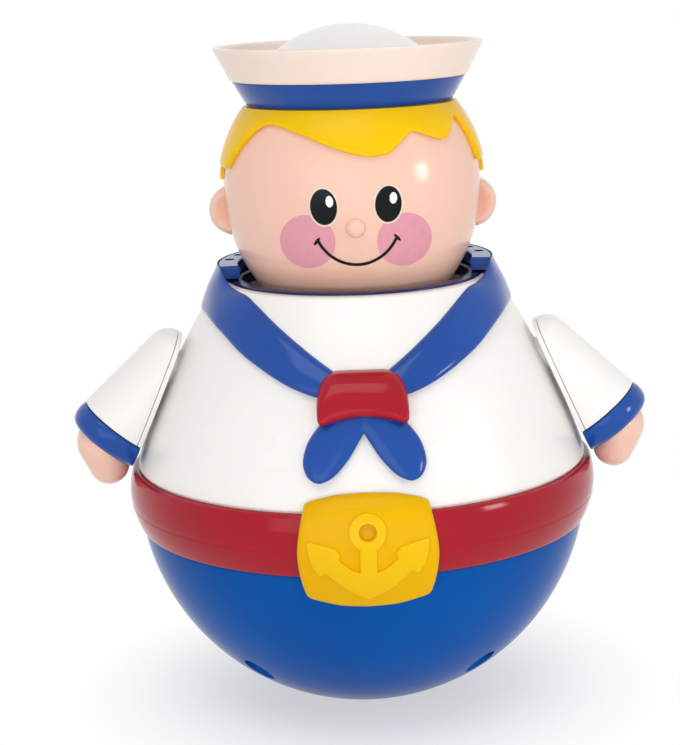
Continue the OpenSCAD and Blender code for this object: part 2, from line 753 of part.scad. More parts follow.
// Fringe seen from the front, left to right: shares of the head's radius and of the hat's rise
fringe_shares = [[-hair_span_share, 0.294], [-0.96, 0.294], [-0.91, 0.318], [-0.82, 0.567],
    [-0.68, 0.784], [-0.58, 0.829], [-0.37, 0.734], [-0.12, 0.567], [0.1, 0.477], [0.26, 0.505],
    [0.35, 0.607], [0.43, 0.716], [0.57, 0.652], [0.66, 0.604], [0.71, 0.64], [0.765, 0.837],
    [0.82, 0.748], [0.88, 0.562], [0.94, 0.324], [0.97, 0.294], [hair_span_share, 0.294]];
fringe = placed(smooth(fringe_shares), [head_r, hat_rise], [0, head_z]);
hair_top_z = hat_z - seat_gap;
hair_top = [[hair_span_share * head_r, hat_z], [-hair_span_share * head_r, hat_z]];
// Back hair seen from behind, from one ear to the other
nape_shares = [[-hair_span_share, 0.1], [-0.9, 0.06], [-0.7, -0.2], [-0.4, -0.38], [0, -0.42],
    [0.4, -0.38], [0.7, -0.2], [0.9, 0.06], [hair_span_share, 0.1]];
nape = placed(smooth(nape_shares), [head_r, head_r], [0, head_z]);

module hair_front() {
    color(straw) intersection() {
        head_layer(seat_gap, hair_t, head_z, hair_top_z);
        front_cutter(concat(fringe, hair_top));
    }
}

module hair_back() {
    color(straw) intersection() {
        head_layer(seat_gap, 3 * hair_t / 4, head_z - head_r / 2, hair_top_z);
        translate([0, seat_gap, 0]) rotate([90, 0, 180]) linear_extrude(height = 2 * head_r)
            polygon(concat(nape, hair_top));
    }
}

// Hat
function band_at(z) = band_r + band_flare * (z - hat_z) / band_h;

module hat_band() {
    color(blue) rotate_extrude() polygon([
        [0, hat_z], [band_r, hat_z], [band_top_r, band_top], [band_top_r - hat_wall, band_top],
        [band_at(hat_z + hat_wall) - hat_wall, hat_z + hat_wall], [0, hat_z + hat_wall]]);
}

module hat_brim() {
    lip = hat_wall / 2;
    color(white) rotate_extrude() polygon(concat(
        [[band_top_r - hat_wall, band_top], [band_top_r + brim_step, band_top]],
        arc_points([brim_r - lip, brim_top - lip], lip, 0, 180)));
}

dome_c = [0, hat_top - dome_r];
crown_foot_z = hat_z + hat_wall;
crown_in_r = crown_r - hat_wall;
dome_in_r = dome_r - hat_wall;

module hat_crown() {
    color(white) rotate_extrude() polygon(concat(
        [[crown_in_r, crown_foot_z], [crown_r, crown_foot_z]],
        arc_points(dome_c, dome_r, acos(crown_r / dome_r), 90),
        arc_points(dome_c, dome_in_r, 90, acos(crown_in_r / dome_in_r))));
}

// Neck bearing
post_z0 = neck_boss_z0 - run_gap;
post_flange_z = head_z0 + head_floor;

module neck_post() {
    color(white) difference() {
        union() {
            translate([0, 0, post_z0]) cylinder(r = post_r, h = post_flange_z - post_z0 + head_floor);
            translate([0, 0, post_flange_z]) cylinder(r = 2 * post_r, h = head_floor);
        }
        translate([0, 0, post_z0 - overrun]) cylinder(r = screw_r + seat_gap, h = screw_bite + 2 * overrun);
    }
}

module neck_washer() {
    color(steel) translate([0, 0, post_z0 - washer_t]) difference() {
        cylinder(r = neck_boss_r, h = washer_t);
        translate([0, 0, -overrun]) cylinder(r = screw_r + seat_gap, h = washer_t + 2 * overrun);
    }
}

module neck_screw() {
    color(steel) translate([0, 0, post_z0 - washer_t - screw_head_h]) screw(washer_t + screw_bite);
}

// Arms, in a frame at the axle: x runs down the arm, z points out from the body
module outward_of(n) {
    translate([-arm_span, -arm_span, n]) cube([2 * arm_span, 2 * arm_span, arm_span]);
}

module on_sleeve() {
    translate([sleeve_reach, 0, sleeve_lift]) rotate([0, 90 - sleeve_tilt, 0]) children();
}

module sleeve_form(inset = 0, past = 0) {
    on_sleeve() rotate_extrude() polygon(concat(
        [[0, inset - sleeve_l]],
        arc_points([sleeve_top_r - sleeve_round, sleeve_round - sleeve_l], sleeve_round - inset, -90, 0),
        [[sleeve_r - inset, 0], [sleeve_r - inset, past], [0, past]]));
}

module sleeve(side) {
    color(white) on_shoulder(side) intersection() {
        difference() {
            sleeve_form();
            sleeve_form(head_wall, overrun);
        }
        outward_of(plate_t);
    }
}

module arm_plate(side) {
    color(white) on_shoulder(side) difference() {
        union() {
            difference() {
                intersection() {
                    sleeve_form();
                    outward_of(0);
                }
                outward_of(plate_t);
            }
            translate([0, 0, -axle_l]) cylinder(r = axle_r, h = axle_l + plate_t);
        }
        translate([0, 0, -axle_l - overrun]) cylinder(r = screw_r + seat_gap, h = axle_l + overrun);
    }
}

module cuff(side) {
    bore = wrist_r + seat_gap;
    spigot = sleeve_in_r - seat_gap;
    color(blue) on_shoulder(side) {
        intersection() {
            on_sleeve() rotate_extrude() polygon([
                [bore, -cuff_spigot_l], [spigot, -cuff_spigot_l], [spigot, cuff_l / 2], [bore, cuff_l / 2]]);
            outward_of(plate_t + seat_gap);
        }
        intersection() {
            on_sleeve() rotate_extrude() polygon(concat(
                [[bore, 2 * seat_gap], [sleeve_r - seat_gap, 2 * seat_gap]],
                bend([sleeve_r + seat_gap, cuff_l / 4], [sleeve_r + seat_gap, 0.85 * cuff_l],
                    [sleeve_in_r, cuff_l]),
                [[bore, cuff_l]]));
            outward_of(seat_gap);
        }
    }
}

module hand(side) {
    color(skin) on_shoulder(side) {
        intersection() {
            difference() {
                hull() for (w = [-1, 1]) {
                    translate([palm_reach, w * palm_half, palm_lift]) sphere(r = palm_r, $fn = hull_fn);
                    translate([palm_reach + finger_reach, w * palm_half, palm_lift - 0.6 * finger_reach])
                        sphere(r = finger_r, $fn = hull_fn);
                }
                on_sleeve() translate([0, 0, -sleeve_l])
                    cylinder(r = 2 * sleeve_r, h = sleeve_l + cuff_l + seat_gap);
            }
            outward_of(seat_gap);
        }
        intersection() {
            on_sleeve() translate([0, 0, -cuff_spigot_l])
                cylinder(r = wrist_r, h = cuff_spigot_l + cuff_l + 2 * seat_gap);
            outward_of(plate_t + seat_gap);
        }
    }
}

module arm_washer(side) {
    color(steel) on_shoulder(side) translate([0, 0, -axle_l - washer_t]) difference() {
        cylinder(r = shoulder_boss_r, h = washer_t);
        translate([0, 0, -overrun]) cylinder(r = screw_r + seat_gap, h = washer_t + 2 * overrun);
    }
}

module arm_screw(side) {
    color(steel) on_shoulder(side) translate([0, 0, -axle_l - washer_t - screw_head_h])
        screw(washer_t + axle_l - seat_gap);
}

base_shell();
belt_ring();
belt_buckle();
torso_shell();
neck_ring();
scarf_collar();
scarf_knot();
scarf_tails();
counterweight();
weight_screws();
case_screws();
chime_yoke();
chime_rods();
clapper_pin();
clapper();
head_shell();
hair_front();
hair_back();
hat_band();
hat_brim();
hat_crown();
neck_post();
neck_washer();
neck_screw();
sleeve(1);  // sleeve_left
arm_plate(1);  // arm_plate_left
cuff(1);  // cuff_left
hand(1);  // hand_left
arm_washer(1);  // arm_washer_left
arm_screw(1);  // arm_screw_left
sleeve(-1);  // sleeve_right
arm_plate(-1);  // arm_plate_right
cuff(-1);  // cuff_right
hand(-1);  // hand_right
arm_washer(-1);  // arm_washer_right
arm_screw(-1);  // arm_screw_right
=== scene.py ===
import json
import math

import bmesh
import bpy
from mathutils import Matrix, Vector


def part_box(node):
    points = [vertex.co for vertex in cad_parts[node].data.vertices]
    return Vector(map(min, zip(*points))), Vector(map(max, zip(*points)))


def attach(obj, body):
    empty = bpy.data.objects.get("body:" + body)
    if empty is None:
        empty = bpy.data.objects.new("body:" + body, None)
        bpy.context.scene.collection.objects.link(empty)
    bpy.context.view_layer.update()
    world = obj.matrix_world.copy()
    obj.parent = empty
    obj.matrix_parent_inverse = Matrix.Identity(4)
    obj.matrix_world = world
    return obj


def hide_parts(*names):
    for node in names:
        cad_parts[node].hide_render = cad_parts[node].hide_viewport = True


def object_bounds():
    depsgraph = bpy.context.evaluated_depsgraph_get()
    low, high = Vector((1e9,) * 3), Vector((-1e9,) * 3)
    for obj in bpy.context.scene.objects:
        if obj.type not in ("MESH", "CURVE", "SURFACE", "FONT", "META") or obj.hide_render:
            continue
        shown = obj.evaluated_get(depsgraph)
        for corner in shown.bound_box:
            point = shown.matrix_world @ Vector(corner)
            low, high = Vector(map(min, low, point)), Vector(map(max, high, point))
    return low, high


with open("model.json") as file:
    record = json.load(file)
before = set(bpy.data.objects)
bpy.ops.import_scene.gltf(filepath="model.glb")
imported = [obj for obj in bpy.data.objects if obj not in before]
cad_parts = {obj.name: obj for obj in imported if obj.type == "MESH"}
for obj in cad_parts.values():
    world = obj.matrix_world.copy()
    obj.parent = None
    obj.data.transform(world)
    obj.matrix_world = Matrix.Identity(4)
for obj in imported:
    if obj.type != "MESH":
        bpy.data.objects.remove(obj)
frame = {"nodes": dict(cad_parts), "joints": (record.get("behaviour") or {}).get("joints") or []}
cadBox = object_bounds()
mm = 0.001
mergeGap = 0.001 * mm  # points closer than this are one
cutGap = 0.0001 * mm
print("frame loaded:", len(frame["nodes"]), "nodes")


# Curves that several pieces share

def evenSteps(low, high, count):
    return [low + (high - low) * i / count for i in range(count + 1)]


def arcPoints(centre, radius, start, end, steps=12):
    points = []
    for i in range(steps + 1):
        turn = math.radians(start + (end - start) * i / steps)
        points.append((centre[0] + radius * math.cos(turn), centre[1] + radius * math.sin(turn)))
    return points


def bendPoints(first, pull, last, steps=12):
    points = []
    for i in range(steps + 1):
        t = i / steps
        points.append(tuple((1 - t) ** 2 * a + 2 * t * (1 - t) * b + t * t * c
                            for a, b, c in zip(first, pull, last)))
    return points


def throughPoint(p, t):
    # Catmull-Rom: a smooth step from p[1] to p[2]
    a, b, c, d = p
    return 0.5 * (2 * b + (c - a) * t + (2 * a - 5 * b + 4 * c - d) * t * t
                  + (3 * b - a - 3 * c + d) * t ** 3)


def smoothLine(points, steps):
    line = []
    last = len(points) - 1
    for i in range(last):
        around = [points[max(i - 1, 0)], points[i], points[i + 1], points[min(i + 2, last)]]
        for k in range(steps):
            line.append(tuple(throughPoint(axis, k / steps) for axis in zip(*around)))
    return line + [tuple(points[last])]


def valueAt(table, x):
    # reads a table of (place, value, ...) smoothly; the places rise
    last = len(table) - 1
    i = 0
    while i < last - 1 and x > table[i + 1][0]:
        i += 1
    t = min(max((x - table[i][0]) / (table[i + 1][0] - table[i][0]), 0), 1)
    around = [table[max(i - 1, 0)], table[i], table[i + 1], table[min(i + 2, last)]]
    return [throughPoint(axis, t) for axis in list(zip(*around))[1:]]


def ease(x, low, high):
    t = min(max((x - low) / (high - low), 0), 1)
    return t * t * (3 - 2 * t)


def mirrored(half):
    return half + [(-x, z) for x, z in reversed(half) if abs(x) > cutGap]


def onPiece(line, low, high, steps=6):
    # an outline in shares of a piece's width and height, at the piece's place
    middle, size = (low + high) / 2, high - low
    return [(x * size.x, middle.z + z * size.z) for x, z in smoothLine(line, steps)]


def onRing(azimuth, radius, height):
    # azimuth 0 is the front, 90 the figure's left
    turn = math.radians(azimuth)
    return Vector((radius * math.sin(turn), -radius * math.cos(turn), height))


# Mesh steps that several pieces share

def cleaned(bm):
    bmesh.ops.remove_doubles(bm, verts=bm.verts, dist=mergeGap)
    rims = [edge for edge in bm.edges if edge.is_boundary]
    if rims:
        bmesh.ops.holes_fill(bm, edges=rims, sides=0)
    bmesh.ops.recalc_face_normals(bm, faces=bm.faces)
    return bm


def moved(bm, way):
    bmesh.ops.translate(bm, verts=bm.verts, vec=way)
    return bm


def turned(bm, degrees, axis):
    bmesh.ops.rotate(bm, verts=bm.verts, matrix=Matrix.Rotation(math.radians(degrees), 3, axis))
    return bm


def placed(bm, matrix):
    bmesh.ops.transform(bm, matrix=matrix, verts=bm.verts)
    return bm


def lathe(profile, steps=160, closed=False, angle=math.tau):
    # each profile point is (radius, height) or (radius, height, rounding)
    bm = bmesh.new()
    verts = [bm.verts.new((point[0], 0, point[1])) for point in profile]
    for pair in zip(verts, verts[1:] + verts[:1] if closed else verts[1:]):
        bm.edges.new(pair)
    for vert, point in zip(verts, profile):
        if len(point) > 2:
            bmesh.ops.bevel(bm, geom=[vert], offset=point[2], offset_type="OFFSET", segments=5,
                            profile=0.5, affect="VERTICES", material=-1)
    bmesh.ops.spin(bm, geom=bm.verts[:] + bm.edges[:], axis=(0, 0, 1), cent=(0, 0, 0),
                   angle=angle, steps=steps, use_merge=math.isclose(angle, math.tau))
    return cleaned(bm)


def wrapped(across, around, place):
    # a grid whose second side wraps round into a tube, closed at both ends
    bm = bmesh.new()
    bmesh.ops.create_grid(bm, x_segments=across, y_segments=around, size=1)
    for vert in bm.verts:
        vert.co = place((vert.co.x + 1) / 2, (vert.co.y + 1) / 2)
    return cleaned(bm)


def relief(outline, base, steps):
    # a flat plate facing the front, whose rim rises by (inset, rise) steps
    bm = bmesh.new()
    face = bm.faces.new([bm.verts.new((x, 0, z)) for x, z in outline])
    face.normal_update()
    if face.normal.y > 0:
        face.normal_flip()
    grown = bmesh.ops.extrude_face_region(bm, geom=[face])["geom"]
    front = [part for part in grown if isinstance(part, bmesh.types.BMFace)]
    bmesh.ops.translate(bm, verts=[part for part in grown if isinstance(part, bmesh.types.BMVert)],
                        vec=(0, -base, 0))
    for inset, rise in steps:
        bmesh.ops.inset_region(bm, faces=front, thickness=inset, depth=rise, use_even_offset=True,
                               use_boundary=True)
    return cleaned(bm)


def roundSteps(width, rise, count=5):
    # (inset, rise) steps of a quarter round
    turns = [math.pi / 2 * i / count for i in range(count + 1)]
    return [(width * (math.cos(a) - math.cos(b)), rise * (math.sin(b) - math.sin(a)))
            for a, b in zip(turns, turns[1:])]


def cutInStrips(bm, normal, low, high, count):
    for step in evenSteps(low, high, count)[1:-1]:
        bmesh.ops.bisect_plane(bm, geom=bm.verts[:] + bm.edges[:] + bm.faces[:], dist=cutGap,
                               plane_co=Vector(normal) * step, plane_no=normal)


def draped(bm, radiusAt):
    # lays a flat relief on a round surface in front; its depth becomes height over the surface
    for vert in bm.verts:
        x, depth, z = vert.co.x, -vert.co.y, vert.co.z
        vert.co.y = -math.sqrt((radiusAt(z) + depth) ** 2 - x * x)
    bmesh.ops.recalc_face_normals(bm, faces=bm.faces)
    return bm


def halved(bm, place, normal):
    # keeps what lies on the normal's side of a plane, and closes the cut
    bmesh.ops.bisect_plane(bm, geom=bm.verts[:] + bm.edges[:] + bm.faces[:], dist=cutGap, plane_co=place,
                           plane_no=normal, clear_inner=True)
    return cleaned(bm)


def softened(bm, width, angle, segments):
    sharp = [edge for edge in bm.edges
             if len(edge.link_faces) == 2 and edge.calc_face_angle() > math.radians(angle)]
    bmesh.ops.bevel(bm, geom=sharp, offset=width, offset_type="OFFSET", segments=segments, profile=0.5,
                    affect="EDGES", material=-1, clamp_overlap=True)
    bmesh.ops.recalc_face_normals(bm, faces=bm.faces)
    return bm


def newObject(bm, name):
    mesh = bpy.data.meshes.new(name)
    bm.to_mesh(mesh)
    bm.free()
    thing = bpy.data.objects.new(name, mesh)
    bpy.context.scene.collection.objects.link(thing)
    return thing


def combined(bm, tool, operation):
    target, cutter = newObject(bm, "target"), newObject(tool, "cutter")
    step = target.modifiers.new("combine", "BOOLEAN")
    step.operation, step.solver, step.object = operation, "EXACT", cutter
    result = bmesh.new()
    result.from_object(target, bpy.context.evaluated_depsgraph_get())
    for thing in (target, cutter):
        mesh = thing.data
        bpy.data.objects.remove(thing)
        bpy.data.meshes.remove(mesh)
    bmesh.ops.remove_doubles(result, verts=result.verts, dist=cutGap)
    return result


def rod(radius, low, high, segments=48):
    bm = bmesh.new()
    bmesh.ops.create_cone(bm, cap_ends=True, segments=segments, radius1=radius, radius2=radius,
                          depth=high - low)
    return moved(bm, (0, 0, (low + high) / 2))


def joined(*parts):
    # one bmesh of several closed shapes
    whole = bmesh.new()
    for part in parts:
        mesh = bpy.data.meshes.new("part")
        part.to_mesh(mesh)
        part.free()
        whole.from_mesh(mesh)
        bpy.data.meshes.remove(mesh)
    return whole


def flippedCopy(bm):
    # the same shape on the other side of the figure
    other = bm.copy()
    bmesh.ops.scale(other, verts=other.verts, vec=(-1, 1, 1))
    bmesh.ops.recalc_face_normals(other, faces=other.faces)
    return other


def addPiece(name, bm, finish, body, slotName, *nodes, sharp=38):
    piece = newObject(bm, name)
    piece.data.shade_smooth()
    piece.data.set_sharp_from_angle(angle=math.radians(sharp))
    piece.data.materials.append(finish)
    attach(piece, body)
    if nodes:
        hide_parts(*nodes)


# Finishes

def linear(*levels):
    # screen levels from 0 to 255 as the shader's linear colour
    shares = [level / 255 for level in levels]
    return tuple(s / 12.92 if s <= 0.04045 else ((s + 0.055) / 1.055) ** 2.4 for s in shares) + (1.0,)


class Nodes:
    # adds nodes to one material and links them
    def __init__(self, name):
        self.material = bpy.data.materials.new(name)
        self.material.use_nodes = True
        self.tree = self.material.node_tree
        self.shader = self.tree.nodes["Principled BSDF"]
        self.place = self.add("ShaderNodeTexCoord").outputs["Object"]

    def feed(self, socket, value):
        if isinstance(value, bpy.types.NodeSocket):
            self.tree.links.new(value, socket)
        else:
            socket.default_value = value

    def add(self, kind, inputs=None, **settings):
        node = self.tree.nodes.new(kind)
        for key, value in settings.items():
            setattr(node, key, value)
        for key, value in (inputs or {}).items():
            self.feed(node.inputs[key], value)
        return node

    def noise(self, scale, detail=3, stretch=(1, 1, 1), rough=0.5):
        spread = self.add("ShaderNodeMapping", {"Vector": self.place, "Scale": stretch})
        return self.add("ShaderNodeTexNoise", {"Vector": spread.outputs[0], "Scale": scale,
                                               "Detail": detail, "Roughness": rough}).outputs["Fac"]

    def ranged(self, value, low, high, toLow=0.0, toHigh=1.0):
        return self.add("ShaderNodeMapRange", {"Value": value, "From Min": low, "From Max": high,
                                               "To Min": toLow, "To Max": toHigh},
                        interpolation_type="SMOOTHSTEP").outputs[0]

    def maths(self, operation, *values):
        return self.add("ShaderNodeMath", dict(enumerate(values)), operation=operation).outputs[0]

    def mixed(self, share, first, second):
        return self.add("ShaderNodeMix", {0: share, 6: first, 7: second}, data_type="RGBA").outputs[2]

    def bumped(self, height, strength, distance):
        bump = self.add("ShaderNodeBump", {"Height": height, "Strength": strength, "Distance": distance})
        self.wire("Normal", bump.outputs[0])

    def wire(self, socketName, value):
        self.tree.links.new(value, self.shader.inputs[socketName])

    def setTo(self, **levels):
        for key, value in levels.items():
            self.shader.inputs[key.replace("_", " ")].default_value = value


plasticCommon = {"clouds": 24, "flecks": 1500, "streaks": 40, "streakStretch": (1.0, 1.0, 0.12),
                 "streakShare": 0.25, "fleckShare": 0.12, "peel": 620, "peelDepth": 0.02 * mm, "bump": 0.12,
                 "scuffs": 34, "scuffStretch": (1.0, 1.0, 9.0), "scuffRough": 0.62,
                 "scuffLevels": (0.66, 0.72), "scuffDull": 0.05, "scuffDepth": 0.06, "shine": 0.3,
                 "glowRadius": (1.0, 0.6, 0.45), "glowDepth": 1.5 * mm}


def mouldedPlastic(name, look):
    # glossy moulded plastic: soft colour clouds, flow streaks, orange peel and a few faint scuffs
    n, common = Nodes(name), plasticCommon
    cloud = n.noise(common["clouds"], 3)
    fleck = n.noise(common["flecks"], 2)
    streak = n.noise(common["streaks"], 4, common["streakStretch"])
    scuff = n.noise(common["scuffs"], 6, common["scuffStretch"], common["scuffRough"])
    scuff = n.ranged(scuff, *common["scuffLevels"])
    base = n.mixed(n.ranged(cloud, 0.3, 0.7), linear(*look["deep"]), linear(*look["colour"]))
    bloom = linear(*look["bloom"])
    base = n.mixed(n.ranged(streak, 0.55, 0.8, 0.0, common["streakShare"]), base, bloom)
    base = n.mixed(n.ranged(fleck, 0.58, 0.75, 0.0, common["fleckShare"]), base, bloom)
    n.wire("Base Color", base)
    rough = n.ranged(cloud, 0.25, 0.75, *look["rough"])
    n.wire("Roughness", n.maths("ADD", rough, n.maths("MULTIPLY", scuff, common["scuffDull"])))
    peel = n.maths("SUBTRACT", n.noise(common["peel"], 2), n.maths("MULTIPLY", scuff, common["scuffDepth"]))
    n.bumped(peel, common["bump"], common["peelDepth"])
    n.setTo(IOR=1.5, Specular_IOR_Level=look.get("shine", common["shine"]))
    if "glow" in look:
        n.setTo(Subsurface_Weight=look["glow"], Subsurface_Radius=common["glowRadius"],
                Subsurface_Scale=common["glowDepth"])
    return n.material


bluePlastic = mouldedPlastic("bluePlastic", {
    "colour": (18, 75, 162), "deep": (15, 69, 154), "bloom": (24, 85, 172),
    "rough": (0.1, 0.15), "shine": 0.3})
bowlPlastic = mouldedPlastic("bowlPlastic", {
    "colour": (4, 86, 170), "deep": (4, 80, 162), "bloom": (12, 98, 182),
    "rough": (0.16, 0.24), "shine": 0.06})
redPlastic = mouldedPlastic("redPlastic", {
    "colour": (174, 6, 32), "deep": (163, 5, 30), "bloom": (184, 13, 40),
    "rough": (0.1, 0.15), "shine": 0.26})
whitePlastic = mouldedPlastic("whitePlastic", {
    "colour": (248, 246, 242), "deep": (246, 243, 239), "bloom": (250, 248, 245),
    "rough": (0.2, 0.28), "glow": 0.08})
# a whiter copy of the white plastic with more subsurface glow: painted light on the hat's dome, which faces
# up and back and gets less light
crownPaintedLightPlastic = mouldedPlastic("crownPaintedLightPlastic", {
    "colour": (252, 250, 247), "deep": (250, 248, 244), "bloom": (253, 252, 250),
    "rough": (0.2, 0.28), "glow": 0.22})
# a warmer, slightly darker copy of the white plastic: painted warm shade on the brim, which sits in less
# light close to the face
brimWarmShadePlastic = mouldedPlastic("brimWarmShadePlastic", {
    "colour": (249, 231, 219), "deep": (247, 227, 214), "bloom": (251, 237, 228),
    "rough": (0.2, 0.28), "glow": 0.08})
# the buckle and its anchor are one yellow plastic: the plate's yellow is a little deeper, painted shade round
# the anchor, and the anchor's is a little lighter, a painted highlight on the raised form
buckleShadedPlastic = mouldedPlastic("buckleShadedPlastic", {
    "colour": (237, 182, 0), "deep": (233, 175, 0), "bloom": (242, 192, 1),
    "rough": (0.2, 0.27), "shine": 0.1})
anchorPaintedLightPlastic = mouldedPlastic("anchorPaintedLightPlastic", {
    "colour": (243, 194, 0), "deep": (240, 188, 0), "bloom": (247, 203, 4),
    "rough": (0.2, 0.27), "shine": 0.16})
hairPlastic = mouldedPlastic("hairPlastic", {
    "colour": (248, 202, 0), "deep": (245, 193, 0), "bloom": (250, 212, 6),
    "rough": (0.2, 0.27), "shine": 0.14})
skinPlastic = mouldedPlastic("skinPlastic", {
    "colour": (247, 203, 183), "deep": (245, 197, 176), "bloom": (249, 211, 193),
    "rough": (0.12, 0.17), "shine": 0.42, "glow": 0.12})
# the neck ring's own blue, darkened here to navy: painted shade of the gap under the chin laid over the
# ring's colour
navyShadedPlastic = mouldedPlastic("navyShadedPlastic", {
    "colour": (24, 32, 92), "deep": (18, 25, 80), "bloom": (40, 52, 118),
    "rough": (0.2, 0.3)})
innerPlastic = mouldedPlastic("innerPlastic", {
    "colour": (226, 223, 214), "deep": (216, 212, 201), "bloom": (236, 234, 228),
    "rough": (0.38, 0.5)})

inkCommon = {"dots": 2600, "patches": 300, "shine": 0.2}


def printInk(name, look):
    # a thin printed film: even colour with a fine dot grain
    n = Nodes(name)
    dots = n.ranged(n.noise(inkCommon["dots"], 2), 0.4, 0.7)
    n.wire("Base Color", n.mixed(dots, linear(*look["colour"]), linear(*look["grain"])))
    n.wire("Roughness", n.ranged(n.noise(inkCommon["patches"], 3), 0.3, 0.7, *look["rough"]))
    n.setTo(IOR=1.47, Specular_IOR_Level=inkCommon["shine"])
    return n.material


blackInk = printInk("blackInk", {
    "colour": (10, 11, 14), "grain": (16, 18, 22), "rough": (0.18, 0.26)})
whiteInk = printInk("whiteInk", {
    "colour": (250, 250, 250), "grain": (244, 244, 246), "rough": (0.2, 0.3)})
paleInk = printInk("paleInk", {
    "colour": (240, 216, 198), "grain": (244, 224, 208), "rough": (0.24, 0.34)})
cheekInk = printInk("cheekInk", {
    "colour": (226, 154, 168), "grain": (230, 164, 176), "rough": (0.26, 0.36)})


def turnedMetal(name, look):
    # bright drawn or turned steel with fine lines round its length
    n = Nodes(name)
    lines = n.noise(look["lines"], 4, look["stretch"])
    stain = n.ranged(n.noise(look["stains"], 4), 0.35, 0.7)
    n.wire("Base Color", n.mixed(stain, linear(*look["colour"]), linear(*look["deep"])))
    n.wire("Roughness", n.ranged(lines, 0.3, 0.7, *look["rough"]))
    n.bumped(lines, 0.2, look["lineDepth"])
    n.setTo(Metallic=1.0)
    return n.material


screwSteel = turnedMetal("screwSteel", {
    "colour": (198, 200, 204), "deep": (170, 172, 178), "lines": 900, "stretch": (1.0, 1.0, 4.0),
    "lineDepth": 0.02 * mm, "stains": 60, "rough": (0.22, 0.36)})
rodSteel = turnedMetal("rodSteel", {
    "colour": (214, 216, 220), "deep": (190, 193, 199), "lines": 1200, "stretch": (5.0, 5.0, 0.2),
    "lineDepth": 0.02 * mm, "stains": 60, "rough": (0.14, 0.24)})


def castIron(name, look):
    # sand-cast iron: coarse skin, dull sheen and rusty bloom in scattered patches
    n = Nodes(name)
    coarse, fine = n.noise(look["coarse"], 6), n.noise(look["fine"], 3)
    rust = n.ranged(n.noise(look["patches"], 5), 0.56, 0.72, 0.0, look["rustShare"])
    base = n.mixed(n.ranged(coarse, 0.3, 0.7), linear(*look["colour"]), linear(*look["deep"]))
    n.wire("Base Color", n.mixed(rust, base, linear(*look["rust"])))
    n.wire("Roughness", n.ranged(fine, 0.3, 0.7, *look["rough"]))
    n.bumped(coarse, 0.6, look["skinDepth"])
    n.setTo(Metallic=0.7)
    return n.material


weightIron = castIron("weightIron", {
    "colour": (92, 93, 97), "deep": (66, 67, 71), "rust": (112, 78, 58), "rustShare": 0.6, "coarse": 240,
    "fine": 1400, "patches": 45, "skinDepth": 0.25 * mm, "rough": (0.55, 0.8)})
print("finishes made")


# Bowl

bowl = {"foot": 12 * mm, "footRound": 1.0 * mm, "wall": 2.4 * mm, "rimStep": 2.0 * mm, "rimRound": 0.4 * mm,
        "wellRadius": 3.9 * mm, "wellWall": 1.5 * mm, "wellInset": 17 * mm, "wellSeat": 2.4 * mm,
        "wellAngles": (45, 135, 225, 315)}
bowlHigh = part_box("base_shell")[1]
beltLow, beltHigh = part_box("belt_ring")
rimRadius, rimHeight = bowlHigh.x, beltLow.z
ballHeight = (rimRadius ** 2 - bowl["foot"] ** 2 + rimHeight ** 2) / (2 * rimHeight)
ballRadius = math.hypot(bowl["foot"], ballHeight)
spigotRadius = rimRadius - bowl["rimStep"]
wellRing = spigotRadius - bowl["wellInset"]


def bowlRadiusAt(z):
    return math.sqrt(ballRadius ** 2 - (z - ballHeight) ** 2)


def bowlHeightAt(radius):
    return ballHeight - math.sqrt(ballRadius ** 2 - radius ** 2)


def bowlTurnAt(z, radius):
    # where a wall of this radius about the ball's centre passes a height, in degrees
    return math.degrees(math.asin((z - ballHeight) / radius))


def makeBowl():
    wall, foot = bowl["wall"], bowl["foot"]
    centre, inner = (0, ballHeight), ballRadius - wall
    skirt, floor = spigotRadius - wall, 2 * wall
    side = arcPoints(centre, ballRadius, bowlTurnAt(0, ballRadius), bowlTurnAt(rimHeight, ballRadius), 56)
    profile = [(0, 0), (foot, 0, bowl["footRound"])] + side[1:-1]
    profile += [(rimRadius, rimHeight, bowl["rimRound"]), (spigotRadius, rimHeight),
                (spigotRadius, bowlHigh.z), (skirt, bowlHigh.z), (skirt, rimHeight - wall)]
    profile += arcPoints(centre, inner, bowlTurnAt(rimHeight - wall, inner), bowlTurnAt(floor, inner), 24)
    shell = lathe(profile + [(0, floor)], 192)
    pillars, wells = [], []
    for angle in bowl["wellAngles"]:
        at = onRing(angle, wellRing, 0)
        pillar = moved(rod(bowl["wellRadius"] + bowl["wellWall"], 0, bowlHigh.z), at)
        for vert in pillar.verts:
            if vert.co.z < rimHeight / 2:  # the foot of the pillar ends inside the bowl's wall
                vert.co.z = bowlHeightAt(math.hypot(vert.co.x, vert.co.y)) + wall / 2
        pillars.append(pillar)
        wells.append(moved(rod(bowl["wellRadius"], -foot, rimHeight - bowl["wellSeat"]), at))
    shell = combined(shell, joined(*pillars), "UNION")
    shell = combined(shell, joined(*wells), "DIFFERENCE")
    addPiece("bowl", shell, bowlPlastic, "body", "blue_plastic", "base_shell", sharp=32)


makeBowl()


# Screws in the wells

caseScrew = {"headRadius": 3.1 * mm, "headHeight": 2.17 * mm, "headRound": 0.3 * mm, "seatRound": 0.2 * mm,
             "dome": 0.7 * mm, "shank": 1.5 * mm, "tipRound": 0.6 * mm, "cross": 3.6 * mm, "slot": 0.8 * mm,
             "crossDepth": 1.1 * mm}


